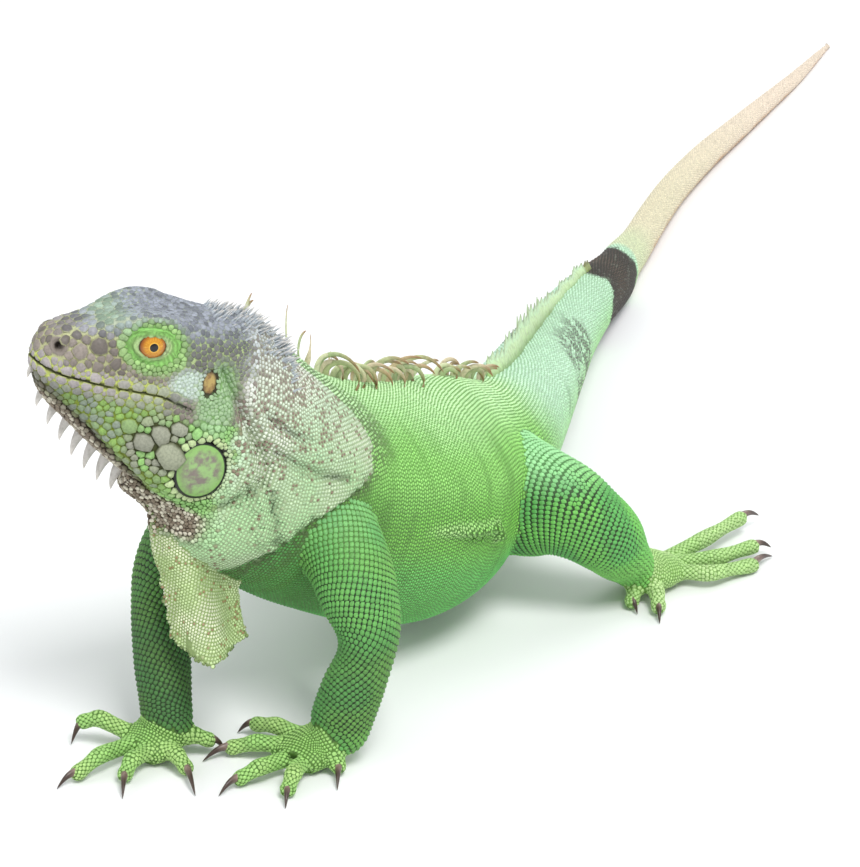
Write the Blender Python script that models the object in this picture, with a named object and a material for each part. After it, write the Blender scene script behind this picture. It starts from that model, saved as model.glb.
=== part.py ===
"""A green iguana that stands with its head raised and turned to its right.

A still, life-size model, 1.02 m from snout to the end of its bent tail.  +X is forward
(towards the head), +Y is the animal's left and +Z is up.  It stands on the plane z = 0, and
the origin is the middle of its plan.

All the tables are in millimetres.  They are turned into metres when a mesh is made.  The
flesh is lofted through a few sections for each length of the body, fused into one body, and
then parted by thin discs where a person would name its parts.
"""
import math

import bmesh
import bpy
import numpy as np
from mathutils import Matrix, Vector

MM = 0.001
PLAN_MIDDLE = np.array([-70.5, 18.0, 0.0])   # middle of the plan, in the tables' frame
UPWARD = np.array([0.0, 0.0, 1.0])

# ---- fusing and parting ------------------------------------------------------------------
FUSE_VOXEL = 1.5            # voxel of the remesh that fuses the lofts
SMOOTH_STEPS = 4            # rounds the joins between the lofts
FLESH_TRIANGLES = 2800      # what the fused flesh is reduced to
CUT_GAP = 0.3               # width of the cuts between the parts
SOCKET_GAP = 0.3            # room round eyes, claws, shields and ear drums
FLOOR_SLAB = 20.0           # depth of the block that trims the soles flat
SOLE_SINK = 0.6             # how far hands and feet sink before their soles are trimmed

# ---- head --------------------------------------------------------------------------------
SNOUT = np.array([427.0, -86.0, 216.0])
HEAD_YAW = math.radians(-47.0)     # turned to its right
HEAD_PITCH = math.radians(15.0)    # snout raised
# Half sections from the snout back: distance from the snout, then crown height, brow (out,
# up), temple (out, up), lip (out, up), jaw (out, up) and throat height.
HEAD = [
    (3.2, 0.0, 1.5, -1.0, 2.0, -2.5, 2.5, -4.0, 2.0, -6.0, -7.0),
    (5.0, 5.5, 5.0, 4.0, 6.5, 1.0, 7.0, -3.0, 5.0, -8.5, -11.0),
    (9.0, 9.5, 7.3, 8.7, 9.7, 3.0, 10.7, -4.5, 8.5, -13.0, -18.0),
    (15.0, 12.5, 8.7, 12.0, 11.7, 4.5, 13.7, -6.0, 11.0, -17.5, -24.5),
    (25.0, 16.0, 10.3, 15.5, 14.3, 6.0, 16.3, -7.5, 13.0, -24.5, -31.5),
    (37.0, 20.5, 13.3, 21.0, 16.7, 8.0, 18.5, -8.5, 15.5, -33.5, -40.5),
    (51.0, 23.0, 17.0, 24.5, 19.7, 10.0, 21.0, -9.5, 18.0, -43.0, -49.5),
    (65.0, 23.5, 17.0, 23.0, 21.7, 9.0, 23.0, -11.0, 21.0, -50.0, -56.5),
    (79.0, 23.5, 15.0, 19.5, 21.7, 5.0, 24.0, -16.0, 23.5, -52.0, -69.0),
    (92.0, 23.0, 13.0, 17.0, 21.0, 3.0, 24.0, -18.0, 23.0, -50.0, -80.0),
    (104.0, 21.0, 12.0, 15.0, 19.0, 1.0, 21.0, -18.0, 20.0, -48.0, -80.0),
]
EYE_RADIUS = 9.0
EYE_AT = (51.0, 13.6, 12.0)         # back, out and up from the snout
EAR_AT = (80.5, 21.3, -2.0)
EAR_SIZE = (3.4, 2.2, 5.6)          # half sizes: along, through, up
SHIELD_AT = (85.0, 23.0, -43.0)
SHIELD_SIZE = (11.6, 2.6, 13.2)
SHIELD_LEAN = math.radians(14.0)

# ---- neck, trunk and tail: centre x, y, z, half width, height above and below the centre,
# ---- and how square the upper and the lower half of the section are (2 is an ellipse)
SPINE_RISE = 0.45                   # share of the slope that the sections follow
SPINE = [
    (392.0, -50.0, 180.0, 15.0, 20.0, 42.0, 2.0, 2.0),
    (372.0, -27.0, 165.0, 24.0, 49.0, 57.0, 1.8, 2.0),
    (345.0, -14.0, 140.0, 36.0, 53.0, 62.0, 1.6, 2.0),
    (312.0, -4.0, 117.0, 44.0, 48.0, 66.0, 1.6, 2.1),
    (275.0, 6.0, 100.0, 50.0, 45.0, 73.0, 1.6, 2.3),
    (238.0, 15.0, 86.0, 54.0, 45.0, 75.0, 1.6, 2.4),
    (200.0, 25.0, 78.0, 49.0, 41.0, 68.0, 1.6, 2.4),
    (165.0, 33.0, 70.0, 37.0, 33.0, 50.0, 1.7, 2.1),
    (120.0, 32.0, 63.0, 29.0, 29.0, 38.0, 1.9, 2.0),
    (70.0, 24.0, 54.0, 25.5, 27.0, 34.0, 1.9, 2.0),
    (10.0, 13.0, 42.5, 22.5, 24.0, 29.0, 1.9, 2.0),
    (-50.0, 3.5, 33.0, 19.0, 21.0, 25.0, 1.9, 2.0),
    (-110.0, -2.0, 25.0, 15.5, 18.0, 20.5, 1.9, 2.0),
    (-155.0, -3.5, 18.5, 12.7, 16.0, 18.0, 1.9, 2.0),
    (-185.0, -7.5, 15.0, 10.8, 13.5, 15.3, 2.0, 2.0),
    (-219.0, -10.0, 11.5, 9.4, 11.5, 12.0, 2.0, 2.0),
    (-265.0, -14.0, 10.0, 9.0, 10.3, 10.5, 2.0, 2.0),
    (-309.0, -16.0, 9.2, 8.5, 9.5, 9.7, 2.0, 2.0),
    (-361.0, -14.5, 8.2, 7.8, 8.6, 8.7, 2.0, 2.0),
    (-408.0, -10.5, 7.1, 6.8, 7.4, 7.6, 2.0, 2.0),
    (-455.0, -6.5, 5.9, 5.6, 6.0, 6.4, 2.0, 2.0),
    (-510.0, -2.0, 4.2, 4.2, 4.4, 4.7, 2.0, 2.0),
    (-560.0, -0.5, 2.2, 2.4, 2.4, 2.7, 2.0, 2.0),
    (-578.0, 0.0, 1.2, 1.5, 1.3, 1.6, 2.0, 2.0),
]

# ---- limbs: centre x, y, z, then half width and half depth of the section ------------------
ARM_LEFT = [
    (320.0, -4.0, 108.0, 23.0, 25.0),
    (333.0, 16.0, 104.0, 21.0, 23.0),
    (343.0, 31.0, 92.0, 19.0, 20.5),
    (352.0, 41.0, 78.0, 17.5, 19.0),
    (357.0, 47.0, 65.0, 14.7, 16.0),
    (360.0, 46.5, 52.0, 13.0, 14.0),
    (363.0, 42.0, 38.0, 14.3, 13.8),
    (366.0, 38.5, 26.0, 14.5, 12.5),
    (368.0, 36.0, 17.0, 14.0, 10.5),
]
ARM_RIGHT = [
    (320.0, -20.0, 108.0, 20.0, 22.0),
    (334.0, -38.0, 102.0, 18.0, 20.0),
    (347.0, -49.0, 90.0, 16.0, 17.5),
    (357.0, -53.0, 78.0, 14.3, 15.5),
    (365.0, -52.0, 65.0, 13.3, 14.3),
    (372.0, -49.0, 52.0, 13.3, 14.3),
    (378.0, -46.0, 38.0, 13.0, 13.3),
    (383.0, -43.0, 26.0, 12.3, 11.7),
    (387.0, -41.0, 16.0, 12.0, 10.0),
]
LEG_LEFT = [
    (180.0, 28.0, 62.0, 24.0, 30.0),
    (190.0, 50.0, 61.0, 24.0, 32.0),
    (194.0, 68.0, 59.0, 23.0, 30.0),
    (194.0, 86.0, 56.0, 21.0, 24.5),
    (190.0, 98.0, 48.0, 19.0, 20.0),
    (184.0, 105.0, 39.0, 17.5, 18.0),
    (177.0, 108.5, 29.0, 15.0, 15.0),
    (170.0, 111.0, 21.0, 13.0, 12.0),
    (163.0, 114.0, 13.5, 12.5, 10.0),
]
LEG_RIGHT = [
    (172.0, 26.0, 66.0, 22.0, 26.0),
    (166.0, 2.0, 64.0, 21.0, 25.0),
    (160.0, -20.0, 60.0, 19.5, 23.0),
    (153.0, -38.0, 53.0, 17.5, 20.0),
    (141.0, -47.0, 44.0, 16.0, 17.0),
    (129.0, -51.0, 34.0, 14.5, 15.0),
    (119.0, -54.0, 24.0, 12.5, 11.5),
    (112.0, -58.0, 14.0, 12.0, 9.0),
]

# ---- hands and feet: the palm's sections (x, y, z, half width, half height), and for each
# ---- digit its root, its raised joint, its last pad and the tip of its claw
HAND_LEFT_PALM = [
    (367.0, 34.0, 15.0, 13.5, 10.5),
    (370.0, 28.0, 9.5, 15.0, 9.0),
    (376.0, 22.5, 7.0, 15.0, 7.6),
    (384.0, 20.0, 6.0, 13.0, 6.2),
]
HAND_LEFT_DIGITS = [
    ((366.0, 17.0, 9.5), (362.0, 3.0, 10.0), (359.0, -8.0, 7.0), (360.0, -17.0, 0.8)),
    ((374.0, 11.0, 8.0), (378.0, -1.0, 8.5), (380.0, -12.0, 5.0), (390.5, -22.0, 0.6)),
    ((386.0, 17.0, 7.5), (399.0, 9.0, 8.5), (405.0, 2.0, 4.6), (417.5, -3.0, 0.6)),
    ((388.0, 25.0, 7.5), (399.0, 26.0, 8.3), (407.0, 26.5, 4.6), (417.5, 29.5, 0.6)),
    ((373.0, 33.0, 8.0), (378.0, 39.0, 8.0), (380.5, 41.0, 5.0), (394.0, 45.5, 0.6)),
]
HAND_RIGHT_PALM = [
    (385.0, -43.0, 15.0, 12.5, 10.5),
    (388.0, -45.0, 9.5, 14.0, 9.0),
    (394.0, -47.0, 7.0, 14.0, 7.6),
    (400.0, -49.5, 6.0, 12.0, 6.2),
]
HAND_RIGHT_DIGITS = [
    ((387.0, -36.0, 8.5), (385.0, -28.0, 11.0), (382.0, -22.0, 8.0), (379.0, -15.0, 1.5)),
    ((395.0, -39.0, 8.0), (401.0, -30.0, 8.5), (405.0, -24.0, 5.0), (421.0, -13.0, 0.6)),
    ((401.0, -45.0, 7.5), (413.0, -47.5, 9.0), (420.0, -48.0, 4.8), (434.5, -43.0, 0.6)),
    ((397.0, -54.0, 8.0), (415.0, -62.5, 9.5), (426.0, -69.0, 4.8), (436.5, -74.5, 0.6)),
    ((390.0, -59.0, 9.5), (391.0, -73.0, 14.5), (391.5, -81.0, 11.5), (397.5, -84.5, 1.5)),
]
FOOT_LEFT_PALM = [
    (166.0, 112.0, 17.0, 12.5, 10.5),
    (159.0, 115.0, 12.5, 14.0, 11.0),
    (151.0, 119.0, 9.5, 14.5, 9.8),
    (142.0, 123.0, 7.0, 12.0, 7.2),
]
FOOT_LEFT_DIGITS = [
    ((164.0, 113.0, 8.5), (174.0, 116.0, 8.0), (180.0, 116.5, 5.2), (184.5, 121.0, 0.7)),
    ((160.0, 119.0, 8.5), (173.0, 127.0, 8.5), (181.0, 130.5, 5.0), (190.0, 134.0, 0.6)),
    ((148.0, 125.0, 8.0), (144.0, 145.0, 8.3), (122.0, 160.0, 4.6), (103.0, 165.0, 0.8)),
    ((140.0, 125.0, 8.0), (127.0, 144.0, 8.8), (108.0, 156.0, 7.5), (99.0, 163.0, 3.5)),
    ((140.0, 119.0, 8.5), (113.0, 133.0, 10.5), (85.0, 142.5, 10.0), (70.0, 148.0, 5.0)),
]
FOOT_RIGHT_PALM = [
    (111.0, -59.0, 14.0, 12.0, 10.0),
    (105.0, -66.0, 9.5, 13.0, 8.5),
    (99.0, -73.0, 7.0, 13.5, 7.3),
    (93.0, -79.0, 5.5, 12.0, 6.0),
]
FOOT_RIGHT_DIGITS = [
    ((112.0, -67.0, 7.5), (117.0, -71.0, 7.5), (120.0, -75.0, 4.4), (124.0, -81.0, 0.6)),
    ((106.0, -76.0, 7.0), (112.0, -85.0, 8.5), (116.0, -93.0, 4.4), (120.0, -102.0, 0.6)),
    ((95.0, -85.0, 7.0), (91.0, -100.0, 9.5), (86.0, -114.0, 4.2), (80.0, -129.0, 0.6)),
    ((88.0, -83.0, 7.0), (74.0, -96.0, 9.5), (60.0, -109.0, 4.2), (48.0, -121.0, 0.6)),
    ((88.0, -75.0, 7.0), (69.0, -76.0, 9.5), (52.0, -79.0, 4.2), (37.0, -84.0, 0.6)),
]
DIGIT_RADIUS = 4.1
DIGIT_TAPER = 0.88
CLAW_ROOT = (1.9, 2.3)      # half width and half height where the claw leaves the digit
CLAW_ARCH = 2.4

# ---- crest: runs of spines from the nape back: first and last x, count, length, width, how
# ---- far they lean back, to the left and down at their tips, as shares of the length
CREST_RUNS = [
    (350.0, 350.0, 1, 12.0, 2.6, 0.7, -0.1, 0.0),
    (312.0, 304.0, 2, 15.0, 2.4, 0.7, -0.3, 0.1),
    (297.0, 224.0, 11, 12.0, 3.0, 1.1, 0.1, 0.5),
    (203.0, 166.0, 6, 8.5, 2.8, 1.0, 0.3, 0.5),
]
CREST_SWAY = 0.35           # neighbours lean to one side and the other, as a share of length
FRILL = (152.0, -130.0, 20, 10.0, 0.9)    # first and last x, teeth, height and half thickness
SPIKE_THICK = 0.9           # half thickness at the root
SPIKE_STATIONS = ((-0.12, 1.0), (0.45, 0.7), (1.0, 0.15))  # share of the height, share of the width
# ---- spikes under the chin: from the snout back, first and last, count, smallest and largest
GULAR_SPIKES = (9.0, 58.0, 8, 3.4, 10.5)

# ---- dewlap: a folded sheet of skin under the throat --------------------------------------
DEWLAP_TOP = [(392.0, -47.0, 134.0), (384.0, -36.0, 120.0), (374.0, -26.0, 106.0), (362.0, -16.0, 92.0)]
DEWLAP_HEM = [(397.0, -33.0, 61.0), (397.0, -23.0, 56.0), (391.0, -12.0, 56.0), (381.0, 0.0, 61.0)]
DEWLAP_FOLD = 6.0           # how far the folds swing from side to side
DEWLAP_THICK = (5.0, 2.2)   # at the throat and at the hem


def through(rows, steps):
    """Points on a smooth curve through the rows, with so many steps from row to row."""
    rows = np.array(rows, float)
    ends = np.vstack([2 * rows[0] - rows[1], rows, 2 * rows[-1] - rows[-2]])
    points = []
    for before, start, end, after in zip(ends, ends[1:], ends[2:], ends[3:]):
        for step in range(steps):
            t = step / steps
            points.append(0.5 * (2 * start + (end - before) * t
                                 + (2 * before - 5 * start + 4 * end - after) * t ** 2
                                 + (3 * start - before - 3 * end + after) * t ** 3))
    points.append(rows[-1])
    return np.array(points)


def unit(vector):
    return vector / np.linalg.norm(vector)


def head_axes():
    """The head's own forward, left and up directions."""
    forward = np.array([math.cos(HEAD_YAW) * math.cos(HEAD_PITCH),
                        math.sin(HEAD_YAW) * math.cos(HEAD_PITCH),
                        math.sin(HEAD_PITCH)])
    left = np.array([-math.sin(HEAD_YAW), math.cos(HEAD_YAW), 0.0])
    return forward, left, np.cross(forward, left)


def head_point(back, out, up):
    """A point on the head, from its distances back, left and up from the snout."""
    forward, left, above = head_axes()
    return SNOUT - forward * back + left * out + above * up


# ---- lofts ---------------------------------------------------------------------------------
def rings_mesh(rings):
    """A closed skin over rings of the same number of points."""
    around = len(rings[0])
    last = (len(rings) - 1) * around
    faces = [tuple(reversed(range(around))), tuple(range(last, last + around))]
    for start in range(0, last, around):
        for k in range(around):
            n = (k + 1) % around
            faces.append((start + k, start + n, start + around + n, start + around + k))
    return np.concatenate(rings), faces


def section_rings(rows, steps, around, rise=1.0, level=UPWARD):
    """Superellipse rings square to the smooth line through the rows."""
    rows = through(rows, steps)
    along = np.gradient(rows[:, :3], axis=0)
    along[:, 2] *= rise
    angle = 2 * np.pi * np.arange(around) / around
    across, height = np.cos(angle), np.sin(angle)
    rings = []
    for centre, way, (wide, above, below, top, bottom) in zip(rows[:, :3], along, rows[:, 3:]):
        way = unit(way)
        up = unit(level - level.dot(way) * way)
        side = np.cross(up, way)
        power = 2 / np.where(height >= 0, top, bottom)
        reach = np.where(height >= 0, above, below)
        out = wide * np.sign(across) * np.abs(across) ** power
        rise_by = reach * np.sign(height) * np.abs(height) ** power
        rings.append(centre + out[:, None] * side + rise_by[:, None] * up)
    return rings


def tube_rings(rows, steps, around, level=UPWARD):
    """Elliptical rings through rows of centre, half width and half depth."""
    round_rows = [(x, y, z, wide, deep, deep, 2.0, 2.0) for x, y, z, wide, deep in rows]
    return section_rings(round_rows, steps, around, level=level)


def head_rings(steps, around):
    """Rings of the head: crown, brow, temple, lip, jaw and throat, the same on both sides."""
    rings = []
    for back, crown, *corners, throat in through(HEAD, steps):
        half = list(zip(corners[0::2], corners[1::2]))
        outline = [(0.0, crown)] + half + [(0.0, throat)] + [(-out, up) for out, up in half[::-1]]
        closed = np.array(outline[-1:] + outline + outline[:2])
        ring = []
        for k in range(around):
            corner, t = divmod(k * len(outline) / around, 1)
            before, start, end, after = closed[int(corner):int(corner) + 4]
            out, up = 0.5 * (2 * start + (end - before) * t
                             + (2 * before - 5 * start + 4 * end - after) * t ** 2
                             + (3 * start - before - 3 * end + after) * t ** 3)
            ring.append(head_point(back, out, up))
        rings.append(np.array(ring))
    return rings


def digit_rings(root, joint, pad, radius=DIGIT_RADIUS):
    """Rings of a digit: arched up to its joint, swollen there and at its last pad."""
    root, joint, pad = (np.array(p) for p in (root, joint, pad))
    thin = radius * DIGIT_TAPER
    rows = [
        (*root, radius * 1.1, radius),
        (*((root + joint) / 2), radius, radius),
        (*joint, radius * 1.1, radius * 1.08),
        (*((joint + pad) / 2), thin, thin),
        (*pad, thin * 1.15, thin * 1.12),
        (*(pad + unit(pad - joint) * thin * 0.9), thin * 0.7, thin * 0.7),
    ]
    return tube_rings(rows, 3, 12)


def claw_rings(pad, claw_tip, grow=0.0):
    """Rings of a claw that arches over from its digit's last pad to its tip."""
    pad, tip = np.array(pad), np.array(claw_tip)
    wide, high = CLAW_ROOT
    rows = []
    for share, arch, size in ((0.0, 0.0, 1.0), (0.3, 1.0, 0.92), (0.65, 0.85, 0.66), (1.0, 0.0, 0.22)):
        centre = pad + (tip - pad) * share + UPWARD * CLAW_ARCH * arch
        rows.append((*centre, wide * size, high * size))
    return grown(tube_rings(rows, 1, 6), grow)


def grown(rings, by):
    """The rings of a loft pushed out on every side."""
    middles = [ring.mean(axis=0) for ring in rings]
    wider = []
    for ring, middle in zip(rings, middles):
        spokes = ring - middle
        wider.append(ring + spokes / np.linalg.norm(spokes, axis=1)[:, None] * by)
    wider[0] = wider[0] + unit(middles[0] - middles[1]) * by
    wider[-1] = wider[-1] + unit(middles[-1] - middles[-2]) * by
    return wider


def dewlap_rings(steps=10, levels=9):
    """Rings round a thin folded sheet, from the throat down to the hem."""
    top = through(DEWLAP_TOP, steps)
    hem = through(DEWLAP_HEM, steps)
    along = np.gradient(top + hem, axis=0)
    side = np.array([unit(np.cross(UPWARD, way)) for way in along])
    run = np.linspace(0, 1, len(top))[:, None]
    rings = []
    for drop in np.linspace(0, 1, levels):
        fold = DEWLAP_FOLD * np.sin(2 * np.pi * run * 1.25 + 0.4) * math.sin(drop * np.pi / 2)
        line = top * (1 - drop) + hem * drop + side * fold
        half = 0.5 * (DEWLAP_THICK[0] * (1 - drop) + DEWLAP_THICK[1] * drop)
        rings.append(np.vstack([line + side * half, (line - side * half)[::-1]]))
    return rings


# ---- crest and spikes ------------------------------------------------------------------------
def spike_rings(base, tip, bend, wide, thick, along):
    """Rings of one spike: flat, bent, and thinning to its tip."""
    rows = []
    for share, size in SPIKE_STATIONS:
        centre = base + (tip - base) * share + bend * math.sin(max(share, 0.0) * np.pi)
        rows.append((*centre, thick * size, wide * size))
    return tube_rings(rows, 1, 4, level=along)


def dorsal_point(x):
    """The point of the back's highest line at x, and the line's direction there."""
    rings = section_rings(SPINE, 6, 4, SPINE_RISE)
    line = np.array([ring[1] for ring in rings])
    way = np.gradient(line, axis=0)
    order = slice(None, None, -1)
    at = np.array([np.interp(x, line[order, 0], line[order, k]) for k in range(3)])
    heading = np.array([np.interp(x, line[order, 0], way[order, k]) for k in range(3)])
    return at, unit(heading)


def crest_spikes():
    """Rings of every spine of the crest."""
    spikes = []
    for first, last, count, length, wide, back, left, droop in CREST_RUNS:
        for k in range(count):
            share = k / max(count - 1, 1)
            base, heading = dorsal_point(first + (last - first) * share)
            side = unit(np.cross(UPWARD, heading))
            sway = CREST_SWAY * math.cos(2.4 * k) - left
            tall = length * (1.0 + 0.18 * math.cos(3.7 * k))
            tip = base + UPWARD * tall * (1.0 - droop) + (heading * back + side * sway) * tall
            bend = UPWARD * tall * (0.2 + droop * 0.5)
            spikes.append(spike_rings(base, tip, bend, wide, SPIKE_THICK, heading))
    return spikes


def frill_rings():
    """Rings of the low toothed fold of skin along the top of the tail."""
    first, last, teeth, height, half = FRILL
    rings = []
    for k in range(2 * teeth + 1):
        share = k / (2 * teeth)
        base, heading = dorsal_point(first + (last - first) * share)
        side = unit(np.cross(UPWARD, heading))
        swell = height * (0.35 + 0.65 * math.sin(np.pi * min(share * 1.25 + 0.12, 1.0)))
        top = base + UPWARD * swell * (1.0 if k % 2 else 0.72) + heading * (1.5 if k % 2 else 0.0)
        root = base - UPWARD * 2.0
        rings.append(np.array([root + side * half * 1.6, root - side * half * 1.6, top]))
    return rings


def gular_spikes():
    """Rings of the flat spikes along the middle of the throat."""
    first, last, count, small, large = GULAR_SPIKES
    forward, _, above = head_axes()
    backs = [row[0] for row in HEAD]
    throats = [row[-1] for row in HEAD]
    spikes = []
    for k in range(count):
        share = k / (count - 1)
        back = first + (last - first) * share ** 1.15
        tall = small + (large - small) * share
        base = head_point(back, 0.0, float(np.interp(back, backs, throats)) + 0.4)
        tip = base - above * tall * 0.95 + forward * tall * 0.25
        line = unit(-forward - above * 0.75)
        spikes.append(spike_rings(base, tip, -forward * tall * 0.1, tall * 0.34, SPIKE_THICK, line))
    return spikes


# ---- making objects --------------------------------------------------------------------------
def mesh_of(pieces, name):
    """One mesh, in metres about the plan's middle, from pieces of vertices and faces."""
    points = []
    faces = []
    for vertices, polygons in pieces:
        start = len(points)
        points.extend(((vertices - PLAN_MIDDLE) * MM).tolist())
        faces.extend([tuple(start + corner for corner in polygon) for polygon in polygons])
    mesh = bpy.data.meshes.new(name)
    mesh.from_pydata(points, [], faces)
    shape = bmesh.new()
    shape.from_mesh(mesh)
    bmesh.ops.recalc_face_normals(shape, faces=shape.faces)
    shape.to_mesh(mesh)
    shape.free()
    return mesh


def add_object(name, mesh):
    thing = bpy.data.objects.new(name, mesh)
    bpy.context.scene.collection.objects.link(thing)
    return thing


def add_guide(name, pieces):
    """A cutter or a shape to be joined, which isn't a part of the animal."""
    guide = add_object(name, mesh_of(pieces, name))
    guide.hide_render = True
    guide.display_type = "WIRE"
    return guide


def with_modifiers(thing, settings):
    """The thing's mesh with modifiers applied, each given as its type and its settings."""
    for kind, values in settings:
        modifier = thing.modifiers.new(kind.title(), kind)
        for key, value in values.items():
            setattr(modifier, key, value)
    graph = bpy.context.evaluated_depsgraph_get()
    mesh = bpy.data.meshes.new_from_object(thing.evaluated_get(graph))
    thing.modifiers.clear()
    thing.data = mesh
    return mesh


def boolean(thing, operation, guides):
    """Join or cut the thing. The exact solver leaves pinched edges where it cuts the toes."""
    solver = {"UNION": "EXACT", "DIFFERENCE": "MANIFOLD"}[operation]
    with_modifiers(thing, [("BOOLEAN", {"object": guide, "operation": operation, "solver": solver})
                           for guide in guides])


def ellipsoid(centre, axes, radii, rings=9, around=14):
    """Vertices and faces of an ellipsoid on three axes; the last one is its pole axis."""
    along, through_axis, up = axes
    lines = []
    for k in range(rings):
        lift = -math.pi / 2 + math.pi * (k + 0.5) / rings
        turn = 2 * np.pi * np.arange(around) / around
        lines.append(centre + np.outer(np.cos(turn) * math.cos(lift) * radii[0], along)
                     + np.outer(np.sin(turn) * math.cos(lift) * radii[1], through_axis)
                     + up * math.sin(lift) * radii[2])
    return rings_mesh(lines)


def head_organs(side, grow=0.0):
    """Eye, ear drum and shield of one side; side is 1 on the left and -1 on the right."""
    forward, left, above = head_axes()
    lean_up = above * math.cos(SHIELD_LEAN) + forward * math.sin(SHIELD_LEAN)
    lean_along = unit(forward - lean_up * forward.dot(lean_up))

    def place(at, axes, size, rings, around):
        back, out, up = at
        radii = [half + grow for half in size]
        return ellipsoid(head_point(back, out * side, up), axes, radii, rings, around)

    eye_axes = (forward, above, left)
    return {
        "eye": place(EYE_AT, eye_axes, (EYE_RADIUS,) * 3, 7, 14),
        "ear": place(EAR_AT, (forward, left, above), EAR_SIZE, 5, 8),
        "shield": place(SHIELD_AT, (lean_along, lean_up, left), (SHIELD_SIZE[0], SHIELD_SIZE[2],
                                                               SHIELD_SIZE[1]), 5, 14),
    }


SIDES = {"left": 1, "right": -1}
DIGIT_SETS = {
    "hand_left": HAND_LEFT_DIGITS,
    "hand_right": HAND_RIGHT_DIGITS,
    "foot_left": FOOT_LEFT_DIGITS,
    "foot_right": FOOT_RIGHT_DIGITS,
}
PALMS = (HAND_LEFT_PALM, HAND_RIGHT_PALM, FOOT_LEFT_PALM, FOOT_RIGHT_PALM)


def flesh_pieces():
    """Every loft that the flesh is fused from."""
    pieces = [rings_mesh(section_rings(SPINE, 4, 30, SPINE_RISE)), rings_mesh(head_rings(3, 36))]
    for limb in (ARM_LEFT, ARM_RIGHT):
        pieces.append(rings_mesh(tube_rings(limb, 4, 18, level=np.array([1.0, 0.0, 0.0]))))
    for limb in (LEG_LEFT, LEG_RIGHT):
        pieces.append(rings_mesh(tube_rings(limb, 4, 18)))
    soles = [tube_rings(palm, 3, 14) for palm in PALMS]
    for digits in DIGIT_SETS.values():
        soles.extend(digit_rings(*digit[:3]) for digit in digits)
    pieces.extend(rings_mesh([ring - UPWARD * SOLE_SINK for ring in rings]) for rings in soles)
    pieces.append(rings_mesh(dewlap_rings()))
    return pieces


def claw_pieces(grow=0.0):
    """Each claw's name and its vertices and faces."""
    return {f"claw_{limb}_{k + 1}": rings_mesh(claw_rings(*digit[2:], grow=grow))
            for limb, digits in DIGIT_SETS.items() for k, digit in enumerate(digits)}


def disc(centre, normal, wide, deep, around=16):
    """Vertices and faces of a thin square disc with round corners; its first axis is level."""
    normal = unit(np.array(normal, float))
    first = unit(np.cross(normal, UPWARD if abs(normal[2]) < 0.9 else np.array([1.0, 0.0, 0.0])))
    second = np.cross(normal, first)
    turn = 2 * np.pi * np.arange(around) / around
    level = np.sign(np.cos(turn)) * np.sqrt(np.abs(np.cos(turn))) * wide
    upright = np.sign(np.sin(turn)) * np.sqrt(np.abs(np.sin(turn))) * deep
    rim = np.outer(level, first) + np.outer(upright, second)
    return rings_mesh([np.array(centre) + rim + normal * CUT_GAP * half for half in (-0.5, 0.5)])


# Thin cuts: centre, direction across the cut, and the disc's level and upright half sizes.
HEAD_CUT_TILT = math.radians(16.0)
HEAD_CUT_WAY = head_axes()[0] * math.cos(HEAD_CUT_TILT) + head_axes()[2] * math.sin(HEAD_CUT_TILT)
DEWLAP_CUT = ((381.7, -32.1, 100.1), (0.577, -0.523, -0.625), 16.0, 43.0)
BODY_CUTS = [
    (head_point(99.0, 0.0, -25.0), HEAD_CUT_WAY, 40.0, 72.0),
    ((345.0, -16.0, 138.0), (0.712, -0.41, 0.57), 44.0, 78.0),
    ((125.0, 35.0, 62.0), (0.97, 0.1, 0.2), 40.0, 50.0),
    ((-40.0, 9.0, 32.0), (0.97, 0.15, 0.15), 24.0, 34.0),
    ((-190.0, -8.0, 14.0), (0.99, 0.06, 0.1), 16.0, 20.0),
    ((-385.0, -12.0, 8.0), (0.99, -0.08, 0.0), 11.0, 12.0),
    ((346.0, 36.0, 88.0), (0.3, 0.8, -0.5), 23.0, 23.0),
    ((357.5, 46.0, 62.0), (0.3, -0.1, -0.95), 19.0, 20.0),
    ((367.5, 36.0, 20.0), (0.2, -0.2, -0.95), 17.0, 16.0),
    ((345.0, -48.0, 91.0), (0.3, -0.8, -0.5), 22.5, 21.0),
    ((367.0, -51.0, 61.0), (0.45, 0.15, -0.88), 17.0, 18.0),
    ((384.0, -42.5, 21.0), (0.3, 0.15, -0.94), 16.0, 15.0),
    ((194.0, 76.0, 60.0), (0.0, 1.0, -0.15), 27.0, 34.0),
    ((188.0, 100.0, 46.0), (-0.35, 0.7, -0.6), 23.0, 24.0),
    ((169.0, 111.0, 22.0), (-0.5, 0.2, -0.84), 16.0, 15.0),
    ((159.0, -24.0, 59.0), (-0.2, -0.95, -0.25), 25.0, 28.0),
    ((144.0, -46.0, 47.0), (-0.65, -0.45, -0.6), 21.0, 22.0),
    ((117.0, -55.0, 21.0), (-0.55, -0.25, -0.8), 16.0, 15.0),
]
# A point inside each part of the flesh.
SEEDS = {
    "head": tuple(head_point(50.0, 0.0, 0.0)),
    "neck": (362.0, -24.0, 160.0),
    "trunk": (250.0, 12.0, 90.0),
    "tail_base": (60.0, 26.0, 50.0),
    "tail_fore": (-110.0, 0.0, 24.0),
    "tail_middle": (-290.0, -15.0, 9.0),
    "tail_end": (-480.0, -4.0, 5.0),
    "upper_arm_left": (350.0, 40.0, 80.0),
    "forearm_left": (365.0, 40.0, 40.0),
    "hand_left": (378.0, 22.0, 6.0),
    "upper_arm_right": (355.0, -52.0, 80.0),
    "forearm_right": (377.0, -58.0, 40.0),
    "hand_right": (396.0, -48.0, 6.0),
    "thigh_left": (194.0, 84.0, 58.0),
    "shank_left": (182.0, 107.0, 36.0),
    "foot_left": (151.0, 119.0, 8.0),
    "thigh_right": (155.0, -33.0, 54.0),
    "shank_right": (129.0, -51.0, 34.0),
    "foot_right": (98.0, -74.0, 7.0),
}
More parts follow.
